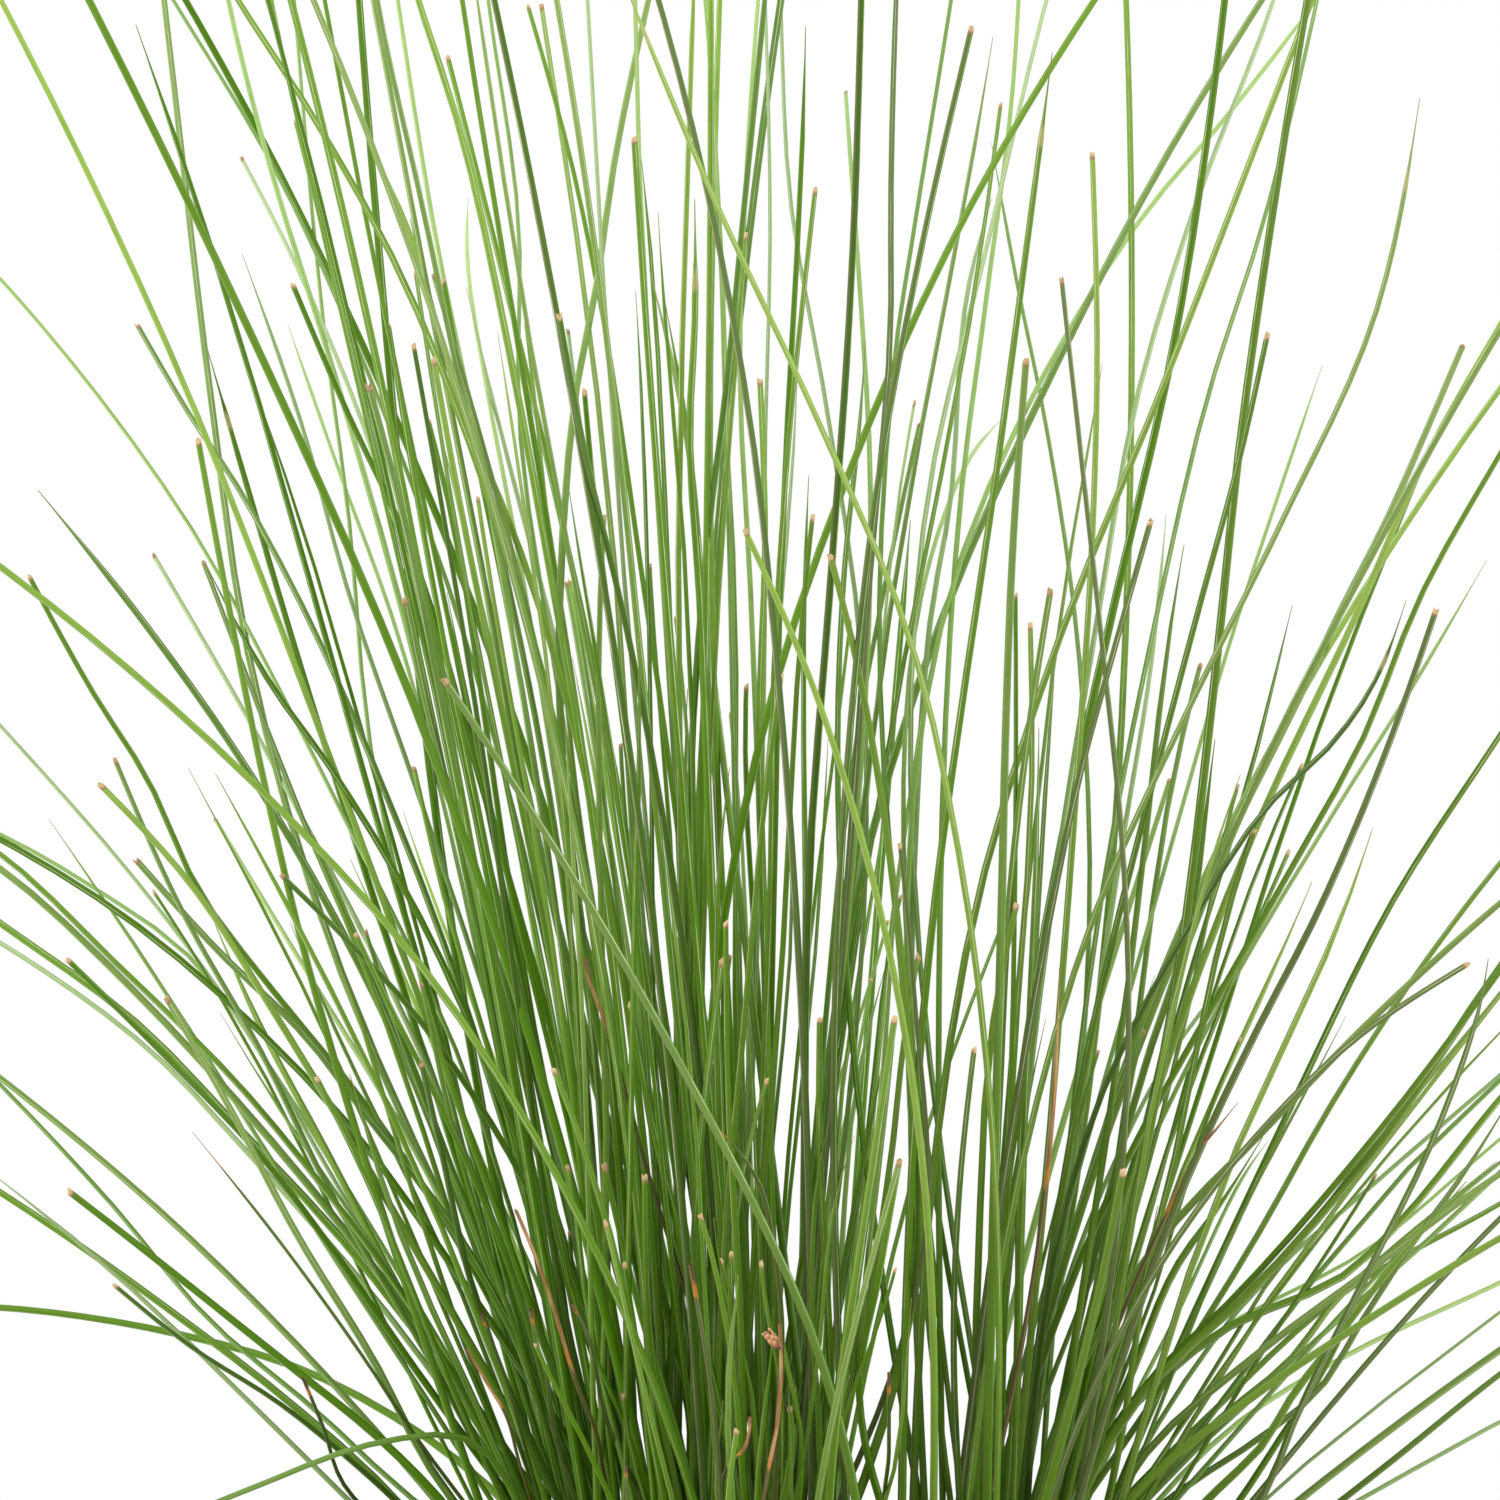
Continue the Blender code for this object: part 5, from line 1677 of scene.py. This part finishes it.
@dataclass
class PottingMix:
    """The plug of potting mix: moist peat with bark chips and perlite, a little uneven on top."""

    pot: NurseryPot
    gap: float = 0.3 * MM
    roll: float = 0.9 * MM

    def surface(self) -> bpy.types.Mesh:
        """Makes the plug, with a gently rolling top.

        Returns:
            The mesh.
        """
        p = self.pot
        bottom = p.foot + p.floor + self.gap
        level = PLANTING.soil_top - 0.7 * MM
        inner = PLANTING.crown_radius - 1 * MM
        edge = p.outer(level) - p.wall - self.gap
        rings = [(inner + (edge - inner) * i / 18, level) for i in range(18)] + [(edge - 0.8 * MM, level), (edge, level)]
        profile = [(0, level), *rings, (p.outer(bottom) - p.wall - self.gap, bottom), (0, bottom)]
        mesh = turned("potting_mix_plug", profile, 120)
        for vertex in mesh.vertices:
            x, y, z = vertex.co
            radius = math.hypot(x, y)
            if z > level - 0.1 * MM and radius > inner - 0.1 * MM:
                wave = 0.6 * math.sin(x * 210 + 1.3) * math.cos(y * 180) + 0.4 * math.sin(x * 520 + y * 440)
                vertex.co.z += self.roll * wave * min(1.0, (edge - radius) / (4 * MM))
        return grounded(mesh, level - 2 * MM, inner - 0.1 * MM, edge - 0.4 * MM)

    def build(self) -> bpy.types.Object:
        """Builds the mix with its crumbs, chips and perlite.

        Returns:
            The piece.
        """
        tree = scatter_tree("loose_bits", "crumb")
        peat, bark, perlite = PEAT.make(), BARK.make(), PERLITE.make()
        mesh = self.surface()
        mesh.materials.append(peat)
        layers = (
            (peat, 175000.0, 0.9 * MM, 0.6, (1.0, 1.0, 0.8)),
            (bark, 26000.0, 1.3 * MM, 0.5, (2.0, 1.0, 0.4)),
            (perlite, 15000.0, 0.85 * MM, 0.4, (1.0, 1.0, 0.9)),
        )
        passes = []
        for i, (material, density, size, spread, stretch) in enumerate(layers):
            inputs = {
                "Density": density,
                "Size": size,
                "Size Spread": spread,
                "Stretch": stretch,
                "Seed": i + 3,
                "Material": material,
            }
            passes.append((tree, inputs))
        mix = grown("potting_mix_with_bits", mesh, passes)
        self.press_in(mix.data)
        return rooted(mix, "potting_mix", "potting_mix")

    def press_in(self, mesh: bpy.types.Mesh) -> None:
        """Presses the bits that reach past the plug's edge in against the pot's wall.

        Args:
            mesh: The mix with its bits.
        """
        edge = self.pot.outer(PLANTING.soil_top) - self.pot.wall - self.gap
        for vertex in mesh.vertices:
            share = min(1.0, edge / max(math.hypot(vertex.co.x, vertex.co.y), self.gap))
            vertex.co.x *= share
            vertex.co.y *= share


@dataclass
class Crown:
    """The grass's crown: a low woody mound, thick with the papery sheaths of old stems."""

    def surface(self) -> bpy.types.Mesh:
        """Makes the mound.

        Returns:
            The mesh.
        """
        radius = PLANTING.crown_radius
        dome = [(radius * i / 14, PLANTING.crown_z(radius * i / 14, 0)) for i in range(15)]
        foot = PLANTING.soil_top - PLANTING.crown_depth
        mesh = turned("crown_mound", [*dome, (radius, foot), (0, foot)], 96)
        for vertex in mesh.vertices:
            x, y, z = vertex.co
            if z > PLANTING.soil_top + 0.2 * MM:
                vertex.co.z += 0.5 * MM * math.sin(x * 900) * math.cos(y * 830 + x * 300)
        return grounded(mesh, PLANTING.soil_top - 0.1 * MM, 0.0, radius)

    def build(self) -> bpy.types.Object:
        """Builds the crown with its sheaths.

        Returns:
            The piece.
        """
        tree = scatter_tree("old_sheaths", "sheath")
        mesh = self.surface()
        sheath = SHEATHS.make()
        mesh.materials.append(sheath)
        inputs = {
            "Density": 190000.0,
            "Size": 11 * MM,
            "Size Spread": 0.4,
            "Stretch": (1.0, 1.0, 1.0),
            "Seed": 5,
            "Material": sheath,
        }
        return rooted(grown("crown_with_sheaths", mesh, [(tree, inputs)]), "crown_sheath", "crown")


# Studio


@dataclass
class Studio:
    """A white room: a pale floor, soft light from above and the left, and a strip on each side.

    Attributes:
        floor_radius: The floor's radius.
        sky: How bright the room is.
    """

    floor_radius: float = 450 * MM
    sky: float = 1.0

    def floor(self) -> None:
        """Makes the pale floor."""
        mesh = bpy.data.meshes.new("floor")
        shape = bmesh.new()
        bmesh.ops.create_circle(shape, cap_ends=True, segments=96, radius=self.floor_radius)
        shape.to_mesh(mesh)
        shape.free()
        floor = bpy.data.objects.new("floor", mesh)
        bpy.context.scene.collection.objects.link(floor)
        paper = bpy.data.materials.new("matt_white_paper")
        paper.use_nodes = True
        shader = paper.node_tree.nodes["Principled BSDF"]
        shader.inputs["Base Color"].default_value = linear("f0f0ee")
        shader.inputs["Roughness"].default_value = 0.9
        mesh.materials.append(paper)

    def world(self) -> None:
        """Makes the even white surroundings."""
        world = bpy.data.worlds.new("white_room")
        world.use_nodes = True
        background = world.node_tree.nodes["Background"]
        background.inputs["Color"].default_value = (1, 1, 1, 1)
        background.inputs["Strength"].default_value = self.sky
        bpy.context.scene.world = world

    def light(self, name: str, place: tuple, size: tuple, watts: float) -> None:
        """Hangs a soft light that faces the tuft.

        Args:
            name: The light's name.
            place: Where it hangs, in metres.
            size: Its width and height, in metres.
            watts: Its power.
        """
        data = bpy.data.lights.new(name, "AREA")
        data.shape = "RECTANGLE"
        data.size, data.size_y = size
        data.energy = watts
        lamp = bpy.data.objects.new(name, data)
        lamp.location = place
        toward = Vector((0, 0, 0.18)) - Vector(place)
        lamp.rotation_euler = toward.to_track_quat("-Z", "Y").to_euler()
        bpy.context.scene.collection.objects.link(lamp)

    def camera(self) -> None:
        """Puts the camera where the photograph was taken from."""
        data = bpy.data.cameras.new("camera")
        data.sensor_width = VIEW.sensor
        data.lens = VIEW.lens()
        data.clip_start, data.clip_end = 0.05, 20
        camera = bpy.data.objects.new("camera", data)
        camera.location = VIEW.eye
        camera.rotation_euler = (VIEW.aim - VIEW.eye).to_track_quat("-Z", "Y").to_euler()
        bpy.context.scene.collection.objects.link(camera)
        bpy.context.scene.camera = camera

    def build(self) -> None:
        """Sets up floor, surroundings, lights and camera."""
        self.floor()
        self.world()
        self.light("top_softbox", (0.1, -0.3, 1.3), (0.9, 0.9), 4)
        self.light("left_softbox", (-0.8, -0.7, 0.7), (0.5, 0.5), 5)
        self.light("left_strip", (-1.0, 0.1, 0.35), (0.04, 1.1), 6)
        self.light("right_strip", (1.0, -0.25, 0.35), (0.04, 1.1), 6)
        self.camera()
        scene = bpy.context.scene
        scene.view_settings.view_transform = "Standard"
        scene.view_settings.look = "None"


MATERIALS: dict[Finish, bpy.types.Material] = {}


def main() -> None:
    """Builds the plant and its studio, piece by piece."""
    logging.basicConfig(level=logging.INFO, format="%(message)s")
    for finish in Finish:
        MATERIALS[finish] = finish.value.make()
    Studio().build()
    pot = NurseryPot()
    pot.build(MouldedPlastic().make())
    PottingMix(pot).build()
    Crown().build()
    skin = skin_group()
    leads = LeadStems(lead_tree(skin))
    leads.build("green", ("green",), Finish.GREEN, 0.52 * MM, "stem_green")
    leads.build("bract", ("bract",), Finish.GREEN, 0.46 * MM, "stem_green")
    leads.build("bronze", ("bronze",), Finish.BRONZE, 0.46 * MM, "stem_bronze")
    leads.build("dry", ("dry_stem_01", "dry_stem_03"), Finish.DRY, 0.34 * MM, "stem_dry")
    leads.build("straw", ("dry_stem_02", "dry_stem_04"), Finish.STRAW, 0.32 * MM, "stem_dry")
    leads.build("bent", ("bent",), Finish.GREEN, 0.42 * MM, "stem_green")
    seen = SeenStems(lead_tree(skin))
    seen.build(Finish.GREEN, 0.46 * MM, "stem_green")
    seen.build(Finish.YOUNG, 0.34 * MM, "stem_green")
    seen.build(Finish.BRONZE, 0.42 * MM, "stem_bronze")
    seen.build(Finish.DRY, 0.28 * MM, "stem_dry")
    seen.build(Finish.STRAW, 0.26 * MM, "stem_dry")
    Spikelet().build()
    fine = FineStems(clump_tree(skin))
    for i, clump in enumerate(CLUMPS):
        fine.build(clump, i + 1)


if __name__ == "__main__":
    main()
